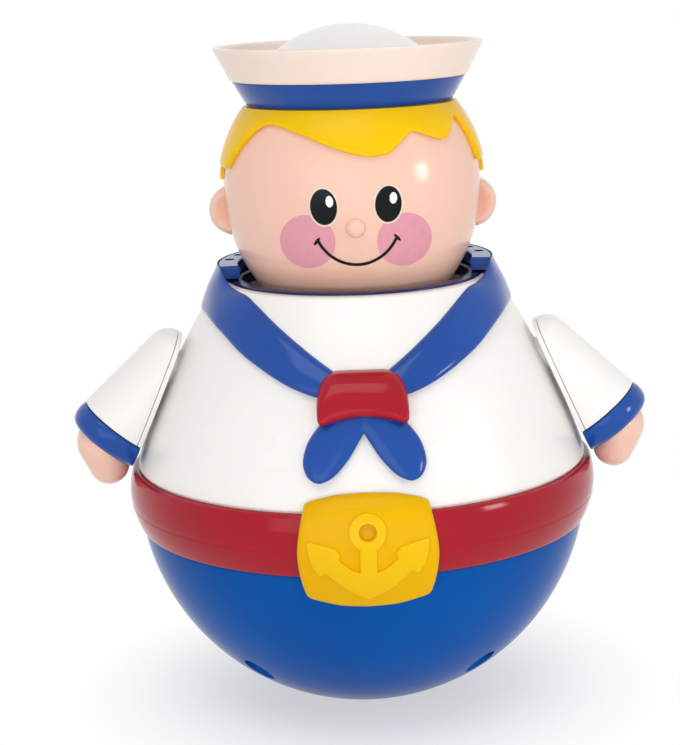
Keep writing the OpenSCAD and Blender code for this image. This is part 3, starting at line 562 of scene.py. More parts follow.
def makeScrews():
    low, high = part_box("case_screws")
    wide, shank, dome = caseScrew["headRadius"], caseScrew["shank"], caseScrew["dome"]
    seat = low.z + caseScrew["headHeight"]
    profile = [(0, low.z), (wide / 2, low.z + 0.1 * dome), (wide, low.z + dome, caseScrew["headRound"]),
               (wide, seat, caseScrew["seatRound"]), (shank, seat), (shank, high.z, caseScrew["tipRound"]),
               (0, high.z)]
    slotSize = (caseScrew["cross"], caseScrew["slot"], 2 * caseScrew["crossDepth"])
    screws = []
    for angle in bowl["wellAngles"]:
        screw = lathe(profile, 40)
        for turn in (angle, angle + 90):
            slot = bmesh.new()
            bmesh.ops.create_cube(slot, size=1)
            bmesh.ops.scale(slot, verts=slot.verts, vec=slotSize)
            screw = combined(screw, moved(turned(slot, turn, "Z"), (0, 0, low.z)), "DIFFERENCE")
        screws.append(moved(screw, onRing(angle, wellRing, 0)))
    addPiece("caseScrews", joined(*screws), screwSteel, "body", "screw_steel", "case_screws")


makeScrews()
print("bowl and screws made")


# Belt

belt = {"proud": 0.5 * mm, "flare": 2.05 * mm, "edge": 0.7 * mm, "seat": 0.15 * mm, "fatShare": 0.53,
        "lineShare": 0.42, "lineDepth": 0.07 * mm, "lineWidth": 0.35 * mm}


def makeBelt():
    lowRadius, topRadius = rimRadius + belt["proud"], rimRadius + belt["flare"]
    fat = 2 * beltHigh.x - (lowRadius + topRadius) / 2
    tall = beltHigh.z - beltLow.z
    lineHeight, lineWidth = beltLow.z + belt["lineShare"] * tall, belt["lineWidth"]
    curve = bendPoints((lowRadius, beltLow.z), (fat, beltLow.z + belt["fatShare"] * tall),
                       (topRadius, beltHigh.z), 28)
    outer = [(radius, z) for radius, z in curve[1:-1] if abs(z - lineHeight) > 1.5 * lineWidth]
    at = next(i for i, point in enumerate(outer) if point[1] > lineHeight)
    edge = (outer[at - 1][0] + outer[at][0]) / 2
    # the mould's parting line
    outer[at:at] = [(edge, lineHeight - lineWidth), (edge - belt["lineDepth"], lineHeight),
                    (edge, lineHeight + lineWidth)]
    inner = spigotRadius + belt["seat"]
    profile = [(inner, beltLow.z), (lowRadius, beltLow.z, belt["edge"])] + outer[1:-1]
    profile += [(topRadius, beltHigh.z, belt["edge"]), (inner, beltHigh.z)]
    ring = lathe(profile, 192, closed=True)
    addPiece("belt", ring, redPlastic, "body", "red_plastic", "belt_ring", sharp=50)


makeBelt()


# Torso and the ring in its neck

neckRing = {"edge": 0.5 * mm, "lip": 0.9 * mm, "width": 3.6 * mm}
torso = {"bulge": 1.8 * mm, "seam": 0.5 * mm, "shoulder": 3.0 * mm, "shoulderRound": 0.7 * mm,
         "hemOut": 0.95 * mm, "hemStep": 0.1 * mm, "hemRound": 0.35 * mm, "wall": 2.4 * mm,
         "seat": 0.15 * mm, "seatRound": 0.2 * mm, "cupDepth": 3.4 * mm, "axleRadius": 5.06 * mm,
         "boreIn": 12 * mm, "boreOut": 6 * mm}
torsoLow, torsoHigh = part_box("torso_shell")
ringLow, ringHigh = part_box("neck_ring")
ringInner = ringHigh.x - neckRing["width"]
neckHeight = torsoHigh.z
hemHeight = beltHigh.z + torso["seam"]
hem = Vector((rimRadius + torso["hemOut"], hemHeight))
neck = Vector((ringHigh.x + torso["shoulder"], neckHeight))
chord = neck - hem
chordOut = Vector((chord.y, -chord.x)).normalized()
sideRadius = (chord.length_squared / 4 + torso["bulge"] ** 2) / (2 * torso["bulge"])
sideCentre = (hem + neck) / 2 - (sideRadius - torso["bulge"]) * chordOut


def torsoRadiusAt(z):
    return sideCentre.x + math.sqrt(sideRadius ** 2 - (z - sideCentre.y) ** 2)


joints = {joint["name"]: joint for joint in frame["joints"]}
armAxis = Vector(joints["arm_left_turn"]["axis"]).normalized()
armDown = (armAxis * armAxis.z - Vector((0, 0, 1))).normalized()
armPlace = Matrix((armDown, armAxis.cross(armDown), armAxis)).transposed().to_4x4()
armPlace.translation = Vector(joints["arm_left_turn"]["pos_m"])


def makeTorso():
    wall, seat = torso["wall"], ringHigh.x + torso["seat"]
    cupWall, cupFloor = ringInner + torso["wall"], ringLow.z - torso["cupDepth"]
    hemTop = hemHeight + torso["seam"]
    profile = [(spigotRadius - wall, torsoLow.z), (spigotRadius, torsoLow.z), (spigotRadius, beltHigh.z),
               (rimRadius, beltHigh.z), (rimRadius, hemHeight),
               (torsoRadiusAt(hemTop) - torso["hemStep"], hemHeight, torso["hemRound"])]
    profile += [(torsoRadiusAt(z), z) for z in evenSteps(hemTop, neckHeight, 40)[1:-1]]
    profile += [(neck.x, neckHeight, torso["shoulderRound"]), (seat, neckHeight, torso["seatRound"]),
                (seat, ringLow.z), (ringInner, ringLow.z), (ringInner, cupFloor), (0, cupFloor),
                (0, cupFloor - wall), (cupWall, cupFloor - wall), (cupWall, ringLow.z - wall)]
    profile += [(torsoRadiusAt(z) - wall, z) for z in evenSteps(ringLow.z - wall, hemHeight + wall, 16)[1:]]
    shell = lathe(profile, 192, closed=True)
    bore = placed(rod(torso["axleRadius"], -torso["boreIn"], torso["boreOut"]), armPlace)
    for cutter in (bore, flippedCopy(bore)):
        shell = combined(shell, cutter, "DIFFERENCE")
    addPiece("torso", shell, whitePlastic, "body", "white_plastic", "torso_shell", sharp=32)


def makeNeckRing():
    profile = [(ringInner, ringLow.z), (ringHigh.x, ringLow.z), (ringHigh.x, ringHigh.z, neckRing["edge"]),
               (ringInner, ringHigh.z, neckRing["lip"])]
    # the ring wears the darkened navy, partly painted shade
    addPiece("neckRing", lathe(profile, closed=True), navyShadedPlastic, "body", "navy_plastic", "neck_ring")


makeTorso()
makeNeckRing()
print("belt, torso and neck made")


# Scarf: a band over the shoulders, a land round the neck, the knot and its tails

scarf = {"thick": 2.6 * mm, "gap": 0.15 * mm, "leastThick": 0.3 * mm, "start": 8.5, "openAngle": 78,
         "inBevel": 2.0 * mm, "outBevel": 1.5 * mm, "bevelShare": 0.88, "lean": 0.45, "blend": (56, 80),
         "landRound": 0.5 * mm, "landThick": 3.5 * mm, "landWidth": 5.5 * mm, "landSet": 0.3 * mm,
         "landSink": 0.02 * mm, "soundRadius": 1.4 * mm, "soundAngles": (98, 112, 126), "overrun": 1 * mm,
         "foot": 109.4 * mm,
         # azimuth, inner edge and outer edge, as heights in mm over the floor
         "edges": [(6, 98.4, 92.9), (9, 100.1, 93.2), (14, 102.6, 94.1), (20, 105.5, 95.7), (26, 108.2, 97.8),
                   (33, 111.0, 100.3), (40, 113.5, 102.7), (49, 115.8, 105.7), (57, 116.6, 107.7),
                   (64, 117.6, 108.8), (69, 119.0, 109.3), (74, 120.7, 109.5), (79, 121.2, 109.5),
                   (90, 121.2, 109.4), (135, 121.2, 109.4), (180, 121.2, 109.4)]}
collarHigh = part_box("scarf_collar")[1]


def scarfLoop(width):
    # a loop round the band: (drop from the inner edge, share of the thickness)
    inner, outer = min(scarf["inBevel"], width / 4), min(scarf["outBevel"], width / 4)
    share = scarf["bevelShare"]
    loop = [(0, 0), (0, 0.3), (0.06 * inner, 0.5), (0.25 * inner, 0.68), (0.58 * inner, 0.82), (inner, share)]
    for spot in evenSteps(0, 1, 9)[1:-1]:
        loop.append((inner + (width - inner - outer) * spot, share + (1 - share) * math.sin(math.pi * spot)))
    loop += [(width - outer, share), (width - 0.5 * outer, 0.78), (width - 0.16 * outer, 0.58), (width, 0.34)]
    loop += [(drop, 0) for drop in evenSteps(width, 0, 5)]
    return loop


def makeScarf():
    thick, gap, foot = scarf["thick"], scarf["gap"], scarf["foot"]
    landOut = neck.x + gap
    landIn = landOut - scarf["landWidth"]
    skirtLow = torsoRadiusAt(foot)
    back = bendPoints((skirtLow + thick / 3, 0), (skirtLow - thick / 2, 0.5), (landOut, 1), 24)

    def bandTop(azimuth, z):
        # outer surface: the torso plus the band's thickness in front, the collar's own slope behind
        front = torsoRadiusAt(min(z, neckHeight)) + thick - scarf["lean"] * max(z - neckHeight, 0)
        share = min(max((z - foot) / (collarHigh.z - foot), 0), 1)
        i = next(k for k in range(len(back) - 1) if share <= back[k + 1][1] or k == len(back) - 2)
        step = (share - back[i][1]) / (back[i + 1][1] - back[i][1])
        behind = back[i][0] + (back[i + 1][0] - back[i][0]) * step
        return front + (behind - front) * ease(azimuth, *scarf["blend"])

    def place(across, around):
        turn = scarf["start"] + (360 - 2 * scarf["start"]) * across
        azimuth = min(turn, 360 - turn)
        inner, outer = (value * mm for value in valueAt(scarf["edges"], azimuth))
        loop = scarfLoop(inner - outer)
        drop, share = loop[round(around * (len(loop) - 1))]
        z = inner - drop
        low = max(torsoRadiusAt(min(z, neckHeight)), neck.x) + gap
        return onRing(turn, low + max(bandTop(azimuth, z) - low, scarf["leastThick"]) * share, z)

    band = wrapped(170, 23, place)
    landTop, landEdge = collarHigh.z - scarf["landSink"], landOut - scarf["landSet"]
    landFoot = landTop - scarf["landThick"]
    land = lathe([(landIn, landFoot), (landEdge, landFoot), (landEdge, landTop, scarf["landSet"]),
                  (landIn, landTop, scarf["landRound"])], 110, closed=True,
                 angle=math.radians(360 - 2 * scarf["openAngle"]))
    whole = combined(band, turned(land, scarf["openAngle"] - 90, "Z"), "UNION")
    holes, past = [], scarf["overrun"]
    for azimuth in scarf["soundAngles"]:
        for turn in (azimuth, -azimuth):
            hole = rod(scarf["soundRadius"], neckHeight - past, collarHigh.z + past, 32)
            holes.append(moved(hole, onRing(turn, (landIn + landOut) / 2, 0)))
    whole = combined(whole, joined(*holes), "DIFFERENCE")
    addPiece("scarfCollar", whole, bluePlastic, "body", "blue_plastic", "scarf_collar", sharp=42)


makeScarf()


def alongLine(line, share):
    # the point at a share of a line's length
    lengths = [math.dist(a, b) for a, b in zip(line, line[1:])]
    left = share * sum(lengths)
    for (a, b), length in zip(zip(line, line[1:]), lengths):
        if left <= length:
            return tuple(p + (q - p) * left / length for p, q in zip(a, b))
        left -= length
    return line[-1]


def quarterRound(share):
    t = min(max(share, 0), 1)
    return math.sqrt(1 - (1 - t) ** 2)


def pillow(firstLine, lastLine, look, across):
    # a cushion on the torso between two outline lines that start together or apart and meet at the end
    spots = [0.5 - 0.5 * math.cos(math.pi * t) for t in evenSteps(0, 1, 22)]
    loop = [(0, 0)] + [(v, 1) for v in spots] + [(v, 0) for v in evenSteps(1, 0, 6)]

    def place(along, around):
        s = math.sin(math.pi / 2 * along)  # closer steps towards the end
        v, front = loop[round(around * (len(loop) - 1))]
        low, high = alongLine(firstLine, s), alongLine(lastLine, s)
        x, z = (a + (b - a) * v for a, b in zip(low, high))
        rise = quarterRound(v / look["lowRound"]) * quarterRound((1 - v) / look["highRound"])
        rise *= quarterRound((1 - s) / look["endRound"])
        depth = front * look["thick"] * (look["wall"] + (1 - look["wall"]) * rise)
        radius = torsoRadiusAt(z) + scarf["gap"] + depth
        return Vector((x, -math.sqrt(radius ** 2 - x * x), z))

    return wrapped(across, len(loop), place)


knot = {"thick": 5.6 * mm, "wall": 0.42, "lowRound": 0.26, "highRound": 0.42, "endRound": 0.3,
        # top and bottom edges from the middle to the side, in shares of the width and height
        "top": [(0, 0.5), (0.14, 0.5), (0.28, 0.485), (0.39, 0.41), (0.465, 0.2), (0.495, -0.05),
                (0.5, -0.3)],
        "bottom": [(0, -0.34), (0.15, -0.36), (0.3, -0.42), (0.4, -0.475), (0.455, -0.5), (0.487, -0.44),
                   (0.5, -0.3)]}
knotLow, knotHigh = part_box("scarf_knot")


def makeKnot():
    bottom, top = (onPiece(knot[edge], knotLow, knotHigh) for edge in ("bottom", "top"))
    right = pillow(bottom, top, knot, 40)
    middle = [face for face in right.faces if all(abs(vert.co.x) < mergeGap for vert in face.verts)]
    bmesh.ops.delete(right, geom=middle, context="FACES")
    whole = cleaned(joined(right, flippedCopy(right)))
    addPiece("scarfKnot", whole, redPlastic, "body", "red_plastic", "scarf_knot", sharp=60)


makeKnot()


tails = {"thick": 2.6 * mm, "wall": 0.4, "lowRound": 0.42, "highRound": 0.42, "endRound": 0.2,
         # inner and outer edges of the right tail from under the knot to the tip, in shares of half the
         # knot's width and the tail's drop
         "inner": [(-0.2, 0.3), (-0.15, 0.1), (-0.08, -0.06), (0.02, -0.18), (0.15, -0.35), (0.35, -0.6),
                   (0.64, -0.86), (0.86, -0.97), (1.02, -1.0)],
         "outer": [(0.6, 0.3), (0.86, 0.05), (1.08, -0.16), (1.24, -0.37), (1.33, -0.64), (1.29, -0.83),
                   (1.18, -0.95), (1.02, -1.0)]}


def makeTails():
    drop = knotLow.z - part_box("scarf_tails")[0].z
    lines = [[(x * knotHigh.x, knotLow.z + z * drop) for x, z in smoothLine(tails[edge], 6)]
             for edge in ("inner", "outer")]
    right = pillow(*lines, tails, 44)
    both = combined(right, flippedCopy(right), "UNION")
    addPiece("scarfTails", both, bluePlastic, "body", "blue_plastic", "scarf_tails", sharp=60)


makeTails()
print("scarf made")


# Belt buckle with its anchor

buckle = {"thick": 2.6 * mm, "edgeGap": 0.9 * mm, "backGap": 0.3 * mm, "chamfer": 2.9 * mm,
          "chamferDrop": 1.6 * mm, "strips": (26, 40),
          # steps of the rounded rim, (inset, rise)
          "rim": [(0.06 * mm, 0.2 * mm), (0.14 * mm, 0.2 * mm), (0.3 * mm, 0.27 * mm), (0.3 * mm, 0.13 * mm)],
          # right half from the top middle down, in shares of the width and height
          "half": [(0, 0.5), (0.2, 0.488), (0.36, 0.447), (0.415, 0.425), (0.437, 0.405), (0.448, 0.37),
                   (0.468, 0.27), (0.49, 0.13), (0.5, 0), (0.493, -0.13), (0.472, -0.27), (0.45, -0.36),
                   (0.436, -0.395), (0.41, -0.418), (0.36, -0.437), (0.2, -0.484), (0, -0.5)],
          "top": [(0, 0.5), (0.2, 0.488), (0.36, 0.447), (0.437, 0.405), (0.5, 0.36)]}
anchor = {"thick": 0.8 * mm, "sink": 0.4 * mm, "round": 0.4 * mm, "crown": 0.5 * mm, "eyeShare": 0.135,
          "eyeHeightShare": 0.205, "holeShare": 0.43, "shankShare": 0.123, "eyeDepth": 1.0 * mm,
          "flare": 0.5 * mm, "flareLow": 0.9 * mm, "flareHigh": 1.6 * mm, "overrun": 2 * mm,
          # right half from the crown up to the eye, in shares of the buckle's width and height
          "half": [(0, -0.41), (0.08, -0.358), (0.17, -0.297), (0.257, -0.201), (0.3, -0.15),
                   (0.35, -0.178), (0.395, -0.1), (0.425, 0.0), (0.434, 0.115), (0.415, 0.132),
                   (0.32, 0.104), (0.226, 0.07), (0.195, 0.02), (0.205, -0.03), (0.126, -0.114),
                   (0.0615, -0.146)]}
buckleLow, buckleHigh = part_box("belt_buckle")
buckleSize = buckleHigh - buckleLow
buckleMiddle = (buckleLow.z + buckleHigh.z) / 2
buckleTop = [(-x, z) for x, z in reversed(buckle["top"][1:])] + buckle["top"]


def buckleBackAt(z):
    t = (z - buckleLow.z) / buckleSize.z
    first = bowlRadiusAt(buckleLow.z) + buckle["edgeGap"]
    last = torsoRadiusAt(buckleHigh.z) + buckle["edgeGap"]
    seat = beltHigh.x + buckle["backGap"]
    pull = 2 * seat - (first + last) / 2
    return (1 - t) ** 2 * first + 2 * t * (1 - t) * pull + t * t * last


def buckleTopAt(x):
    return buckleMiddle + valueAt(buckleTop, x / buckleSize.x)[0] * buckleSize.z


def anchorOutline():
    right = [(x * buckleSize.x, buckleMiddle + z * buckleSize.z) for x, z in anchor["half"]]
    eye = (0, buckleMiddle + anchor["eyeHeightShare"] * buckleSize.z)
    radius, half = anchor["eyeShare"] * buckleSize.x, anchor["shankShare"] * buckleSize.x / 2
    start = math.degrees(math.asin(half / radius)) - 90
    return mirrored(right + arcPoints(eye, radius, start, 90, 20)), eye, radius


def makeBuckle():
    thick, rim = buckle["thick"], buckle["rim"]
    plate = relief(mirrored(onPiece(buckle["half"], buckleLow, buckleHigh, 5)),
                   thick - sum(rise for inset, rise in rim), rim)
    outline, eye, radius = anchorOutline()
    form = relief(outline, anchor["thick"], roundSteps(anchor["round"], anchor["crown"]))
    bore, deep = anchor["holeShare"] * radius, -anchor["overrun"]
    hole = lathe([(0, deep), (bore, deep), (bore, anchor["flareLow"]),
                  (bore + anchor["flare"], anchor["flareHigh"]), (0, anchor["flareHigh"])], 40)
    dimple = rod(bore, thick - anchor["eyeDepth"], 2 * thick, 40)
    for cutter in (hole, dimple):
        moved(turned(cutter, 90, "X"), (0, 0, eye[1]))
    plate = combined(plate, dimple, "DIFFERENCE")  # the eye runs on into the plate
    form = moved(combined(form, hole, "DIFFERENCE"), (0, anchor["sink"] - thick, 0))
    across, up = buckle["strips"]
    for bm in (plate, form):
        cutInStrips(bm, (1, 0, 0), buckleLow.x, buckleHigh.x, across)
        cutInStrips(bm, (0, 0, 1), buckleLow.z, buckleHigh.z, up)
    for vert in plate.verts:  # the front slopes back along the top edge
        below = buckleTopAt(vert.co.x) - vert.co.z
        if vert.co.y < -thick / 2:
            vert.co.y += buckle["chamferDrop"] * (1 - min(max(below / buckle["chamfer"], 0), 1))
    for bm in (plate, form):
        draped(bm, buckleBackAt)
    # the plate takes the deeper yellow (painted shade), the anchor the lighter yellow (painted highlight)
    addPiece("beltBuckle", plate, buckleShadedPlastic, "body", "buckle_yellow", "belt_buckle", sharp=35)
    addPiece("buckleAnchor", form, anchorPaintedLightPlastic, "body", "buckle_yellow", sharp=50)


makeBuckle()
print("buckle made")


# Head with its ears and nose

head = {"widestShare": 0.5613, "chinShare": 1.1453, "skullShare": 1.0233, "chinRound": 0.6 * mm,
        "earRadius": 6.8 * mm, "earThick": 7.6 * mm, "earDropShare": 0.166, "earBackShare": 0.03,
        "noseRadius": 2.55 * mm, "noseDropShare": 0.21,
        # the ear from its hollow front to its back, in shares of its radius and half its thickness
        "ear": [(0, -0.52), (0.3, -0.55), (0.52, -0.7), (0.66, -0.87), (0.78, -0.92), (0.9, -0.72),
                (0.98, -0.3), (1, 0.05), (0.94, 0.45), (0.8, 0.78), (0.5, 0.96), (0, 1)]}
headLow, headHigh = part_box("head_shell")
headRadius = headHigh.y
headWidest = headLow.z + head["widestShare"] * (headHigh.z - headLow.z)


def headRadiusAt(z):
    reach = headRadius * (head["chinShare"] if z < headWidest else head["skullShare"])
    return headRadius * math.sqrt(max(1 - ((z - headWidest) / reach) ** 2, 0))


def makeHead():
    profile = [(0, headLow.z), (headRadiusAt(headLow.z), headLow.z, head["chinRound"])]
    profile += [(headRadiusAt(z), z) for z in evenSteps(headLow.z, headHigh.z, 64)[1:]] + [(0, headHigh.z)]
    skull = lathe(profile, 192)
    earRadius, half = head["earRadius"], head["earThick"] / 2
    earBack = head["earBackShare"] * headRadius
    earHeight = headWidest - head["earDropShare"] * headRadius
    for side in (1, -1):
        ear = turned(lathe([(r * earRadius, t * half) for r, t in head["ear"]], 56), -90, "X")
        moved(ear, (side * (headHigh.x - earRadius), earBack, earHeight))
        skull = combined(skull, ear, "UNION")
    nose = bmesh.new()
    bmesh.ops.create_uvsphere(nose, u_segments=40, v_segments=24, radius=head["noseRadius"])
    noseHeight = headWidest - head["noseDropShare"] * headRadius
    moved(nose, (0, -headRadiusAt(noseHeight), noseHeight))
    skull = combined(skull, nose, "UNION")
    addPiece("head", skull, skinPlastic, "head", "skin_plastic", "head_shell", sharp=40)


makeHead()


# Printed face, laid on the head as thin films

face = {"film": 0.03 * mm, "layers": {"cheeks": 1, "rims": 2, "darks": 3, "ticks": 3.3, "glints": 4},
        # the rest in mm: places across the face and over the floor, half sizes of ovals; angles in degrees
        "eyes": [(-7.9, 139.3), (8.5, 139.5)], "eyeSize": (3.4, 4.6), "eyeTilt": (4, -3), "rim": 0.45,
        "glints": [(-6.4, 140.7), (9.8, 141.0)], "glintSize": (0.95, 1.45),
        "cheeks": [(-12.3, 130.2), (12.5, 129.9)], "cheekSize": (7.1, 7.1),
        "smileCentre": (0.35, 136.4), "smileRadius": (11.3, 12.4), "smileSpan": 61.5, "smileWidth": 0.78,
        "ticks": [(-9.9, 130.4), (10.6, 130.7)], "tickSize": (1.25, 0.4), "tickTilt": (52, -48),
        "strips": [((1, 0, 0), -24, 24, 48), ((0, 0, 1), 118, 150, 32)]}


def film(outline, layer):
    bm = relief([(x * mm, z * mm) for x, z in outline], face["film"], [])
    for normal, low, high, count in face["strips"]:
        cutInStrips(bm, normal, low * mm, high * mm, count)
    return draped(bm, lambda z: headRadiusAt(z) + face["layers"][layer] * face["film"])


def ovalFilms(layer, centres, size, tilts):
    films = []
    for centre, tilt in zip(centres, tilts):
        turn = math.radians(tilt)
        outline = []
        for x, z in arcPoints((0, 0), 1, 0, 360, 56)[:-1]:
            px, pz = x * size[0], z * size[1]
            outline.append((centre[0] + px * math.cos(turn) - pz * math.sin(turn),
                            centre[1] + px * math.sin(turn) + pz * math.cos(turn)))
        films.append(film(outline, layer))
    return films


def smileFilm(layer):
    centre, (wide, tall) = face["smileCentre"], face["smileRadius"]
    half, span = face["smileWidth"] / 2, face["smileSpan"]
    bow = arcPoints((0, 0), 1, 270 - span, 270 + span, 60)
    outer, inner = ([(centre[0] + x * (wide + grow), centre[1] + z * (tall + grow)) for x, z in bow]
                    for grow in (half, -half))
    return film(outer + inner[::-1], layer)


def makeFace():
    cheeks = ovalFilms("cheeks", face["cheeks"], face["cheekSize"], (0, 0))
    addPiece("cheekPrint", joined(*cheeks), cheekInk, "head", "skin_plastic")
    rimSize = [size + face["rim"] for size in face["eyeSize"]]
    rims = ovalFilms("rims", face["eyes"], rimSize, face["eyeTilt"])
    addPiece("eyeRimPrint", joined(*rims), paleInk, "head", "skin_plastic")
    darks = ovalFilms("darks", face["eyes"], face["eyeSize"], face["eyeTilt"])
    darks.append(smileFilm("darks"))
    darks += ovalFilms("ticks", face["ticks"], face["tickSize"], face["tickTilt"])
    addPiece("eyeAndMouthPrint", joined(*darks), blackInk, "head", "skin_plastic")
    glints = ovalFilms("glints", face["glints"], face["glintSize"], face["eyeTilt"])
    addPiece("eyeGlintPrint", joined(*glints), whiteInk, "head", "skin_plastic")


makeFace()
print("head and face made")


# Hair: a front shell with the fringe and a thinner back shell

hair = {"thick": 1.6 * mm, "backThick": 1.2 * mm, "gap": 0.1 * mm, "edge": 1.3 * mm,
        "frontSpan": (-89.8, 89.8), "backSpan": (90.1, 269.9),
        # azimuth and lower edge of the fringe, in mm over the floor
        "fringe": [(-90, 147.5), (-78, 147.5), (-71, 147.7), (-68, 149.2), (-61, 153.6), (-52, 158.0),
                   (-43, 159.4), (-25, 157.3), (-7.5, 153.7), (6, 151.6), (15.5, 152.1), (21.5, 154.4),
                   (28.5, 156.9), (38.5, 155.4), (45, 154.4), (50.5, 155.2), (55.5, 157.4), (62.5, 159.6),
                   (66.5, 157.6), (70, 153.4), (73, 148.6), (75, 147.6), (80, 147.5), (90, 147.5)],
        # azimuth from one ear round the back, and the lower edge
        "nape": [(90, 143.6), (105, 142.6), (118, 139.4), (132, 133.8), (150, 128.6), (180, 126.8),
                 (210, 128.6), (228, 133.8), (242, 139.4), (255, 142.6), (270, 143.6)]}
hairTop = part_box("hair_front")[1].z


def hairShell(edge, span, thick, steps):
    first, last = span

    def place(across, around):
        azimuth = first + (last - first) * across
        low = valueAt(edge, azimuth)[0] * mm
        tall = hairTop - low
        lip = min(hair["edge"], tall / 3)
        # a loop round the shell: (rise from the lower edge, share of the thickness)
        loop = [(0, 0), (0, 0.35), (0.05 * lip, 0.6), (0.22 * lip, 0.8), (0.55 * lip, 0.95)]
        loop += [(rise, 1) for rise in evenSteps(lip, tall, 8)]
        loop += [(rise, 0) for rise in evenSteps(tall, 0, 8)]
        rise, share = loop[round(around * (len(loop) - 1))]
        z = low + rise
        return onRing(azimuth, headRadiusAt(z) + hair["gap"] + (thick - hair["gap"]) * share, z)

    return wrapped(steps, 22, place)


def makeHair():
    front = hairShell(hair["fringe"], hair["frontSpan"], hair["thick"], 220)
    addPiece("hairFront", front, hairPlastic, "head", "hair_yellow", "hair_front", sharp=45)
    back = hairShell(hair["nape"], hair["backSpan"], hair["backThick"], 120)
    addPiece("hairBack", back, hairPlastic, "head", "hair_yellow", "hair_back", sharp=45)


makeHair()
print("hair made")


# Hat

hat = {"wall": 2.2 * mm, "bandTaper": 3.7 * mm, "bandThinShare": 0.6, "bandEdge": 0.35 * mm,
       "brimSet": 0.5 * mm, "brimFlare": 2.0 * mm, "brimTop": 0.4 * mm, "brimEdge": 0.9 * mm, "lip": 0.8 * mm,
       "domeRise": 12 * mm, "crownFillet": 1.0 * mm}
bandLow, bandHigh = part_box("hat_band")
brimLow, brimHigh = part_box("hat_brim")
crownLow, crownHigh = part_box("hat_crown")


def makeBand():
    wall, edge = hat["wall"], hat["bandEdge"]
    foot, floor = bandHigh.x - hat["bandTaper"], bandLow.z + wall
    profile = [(0, bandLow.z), (foot, bandLow.z, edge), (bandHigh.x, bandHigh.z, edge),
               (bandHigh.x - wall, bandHigh.z), (foot - hat["bandThinShare"] * wall, floor), (0, floor)]
    addPiece("hatBand", lathe(profile), bluePlastic, "head", "blue_plastic", "hat_band")


def makeBrim():
    wall, lip = hat["wall"], hat["lip"]
    foot, middle = bandHigh.x + hat["brimSet"], (brimLow.z + brimHigh.z) / 2
    outer = bendPoints((foot, brimLow.z), (foot + hat["brimFlare"], middle),
                       (brimHigh.x, brimHigh.z - hat["brimTop"]), 10)
    profile = [(foot - wall, brimLow.z), (foot, brimLow.z, hat["brimEdge"])] + outer[2:-1]
    profile += [(brimHigh.x, brimHigh.z, lip), (brimHigh.x - wall, brimHigh.z, lip)]
    brim = lathe(profile, closed=True)
    # the brim wears the warm, darker copy of the white plastic, painted shade
    addPiece("hatBrim", brim, brimWarmShadePlastic, "head", "white_plastic", "hat_brim", sharp=50)


def makeCrown():
    rise = hat["domeRise"]
    domeRadius = (crownHigh.x ** 2 + rise ** 2) / (2 * rise)
    start = math.degrees(math.acos(crownHigh.x / domeRadius))
    dome = arcPoints((0, crownHigh.z - domeRadius), domeRadius, start, 90, 28)
    profile = [(0, crownLow.z), (crownHigh.x, crownLow.z), dome[0] + (hat["crownFillet"],)] + dome[1:]
    # the dome wears the whiter copy of the white plastic, painted light
    addPiece("hatCrown", lathe(profile), crownPaintedLightPlastic, "head", "white_plastic", "hat_crown")


makeBand()
makeBrim()
makeCrown()
print("hat made")


# Arms, in a frame at the axle: x runs down the arm, z points out from the body

arm = {"reach": 21.8 * mm, "lift": 6.4 * mm, "tilt": 22.1, "radius": 12.1 * mm, "topRadius": 11.4 * mm,
       "length": 31.4 * mm, "round": 6.0 * mm, "rise": 0.12, "hem": 0.5 * mm, "plate": 1.2 * mm,
       "plateSet": 0.1 * mm, "seam": 0.2 * mm, "axle": 5.0 * mm, "axleLength": 8.94 * mm,
       "backGap": 0.15 * mm}
sleeveTurn = math.radians(arm["tilt"])
sleevePlace = Matrix(((math.sin(sleeveTurn), 0, -math.cos(sleeveTurn)), (0, 1, 0),
                      (math.cos(sleeveTurn), 0, math.sin(sleeveTurn)))).transposed().to_4x4()
sleevePlace.translation = (arm["reach"], 0, arm["lift"])


def endRise(x):
    # how far the sleeve's open end draws back on the side towards the body
    return arm["rise"] * (x + arm["radius"])


def sleeveForm(grow):
    length, rounding, top = arm["length"], arm["round"], arm["topRadius"] + grow
    profile = [(0, -length)] + arcPoints((top - rounding, rounding - length), rounding, -90, 0, 16)
    bm = lathe(profile + [(arm["radius"] + grow, 0, arm["hem"]), (0, 0)], 96)
    for vert in bm.verts:
        vert.co.z -= endRise(vert.co.x) * max(1 + vert.co.z / length, 0)
    return placed(bm, sleevePlace)


def addToArm(name, node, label, bm, finish, slotName):
    # sets a shape from the arm's own frame on its side of the body
    placed(bm, armPlace)
    bmesh.ops.recalc_face_normals(bm, faces=bm.faces)
    seated = bm if label == "left" else flippedCopy(bm)
    addPiece(name + label.title(), seated, finish, "arm_" + label, slotName, node + "_" + label)


def makeSleeve(label):
    plate, seam = arm["plate"], arm["seam"]
    sleeve = softened(halved(sleeveForm(0), (0, 0, plate + seam), (0, 0, 1)), seam, 50, 2)
    addToArm("sleeve", "sleeve", label, sleeve, whitePlastic, "white_plastic")
    back = halved(sleeveForm(-arm["plateSet"]), (0, 0, 0), (0, 0, 1))
    back = softened(halved(back, (0, 0, plate), (0, 0, -1)), seam, 50, 2)
    back = joined(back, rod(arm["axle"], -arm["axleLength"], plate / 2))
    addToArm("armPlate", "arm_plate", label, back, whitePlastic, "white_plastic")


cuff = {"length": 6.4 * mm, "gap": 0.3 * mm, "step": 0.15 * mm, "inset": 2.2 * mm, "startRound": 0.3 * mm,
        "edge": 0.5 * mm, "bulgeShares": (0.25, 0.85)}


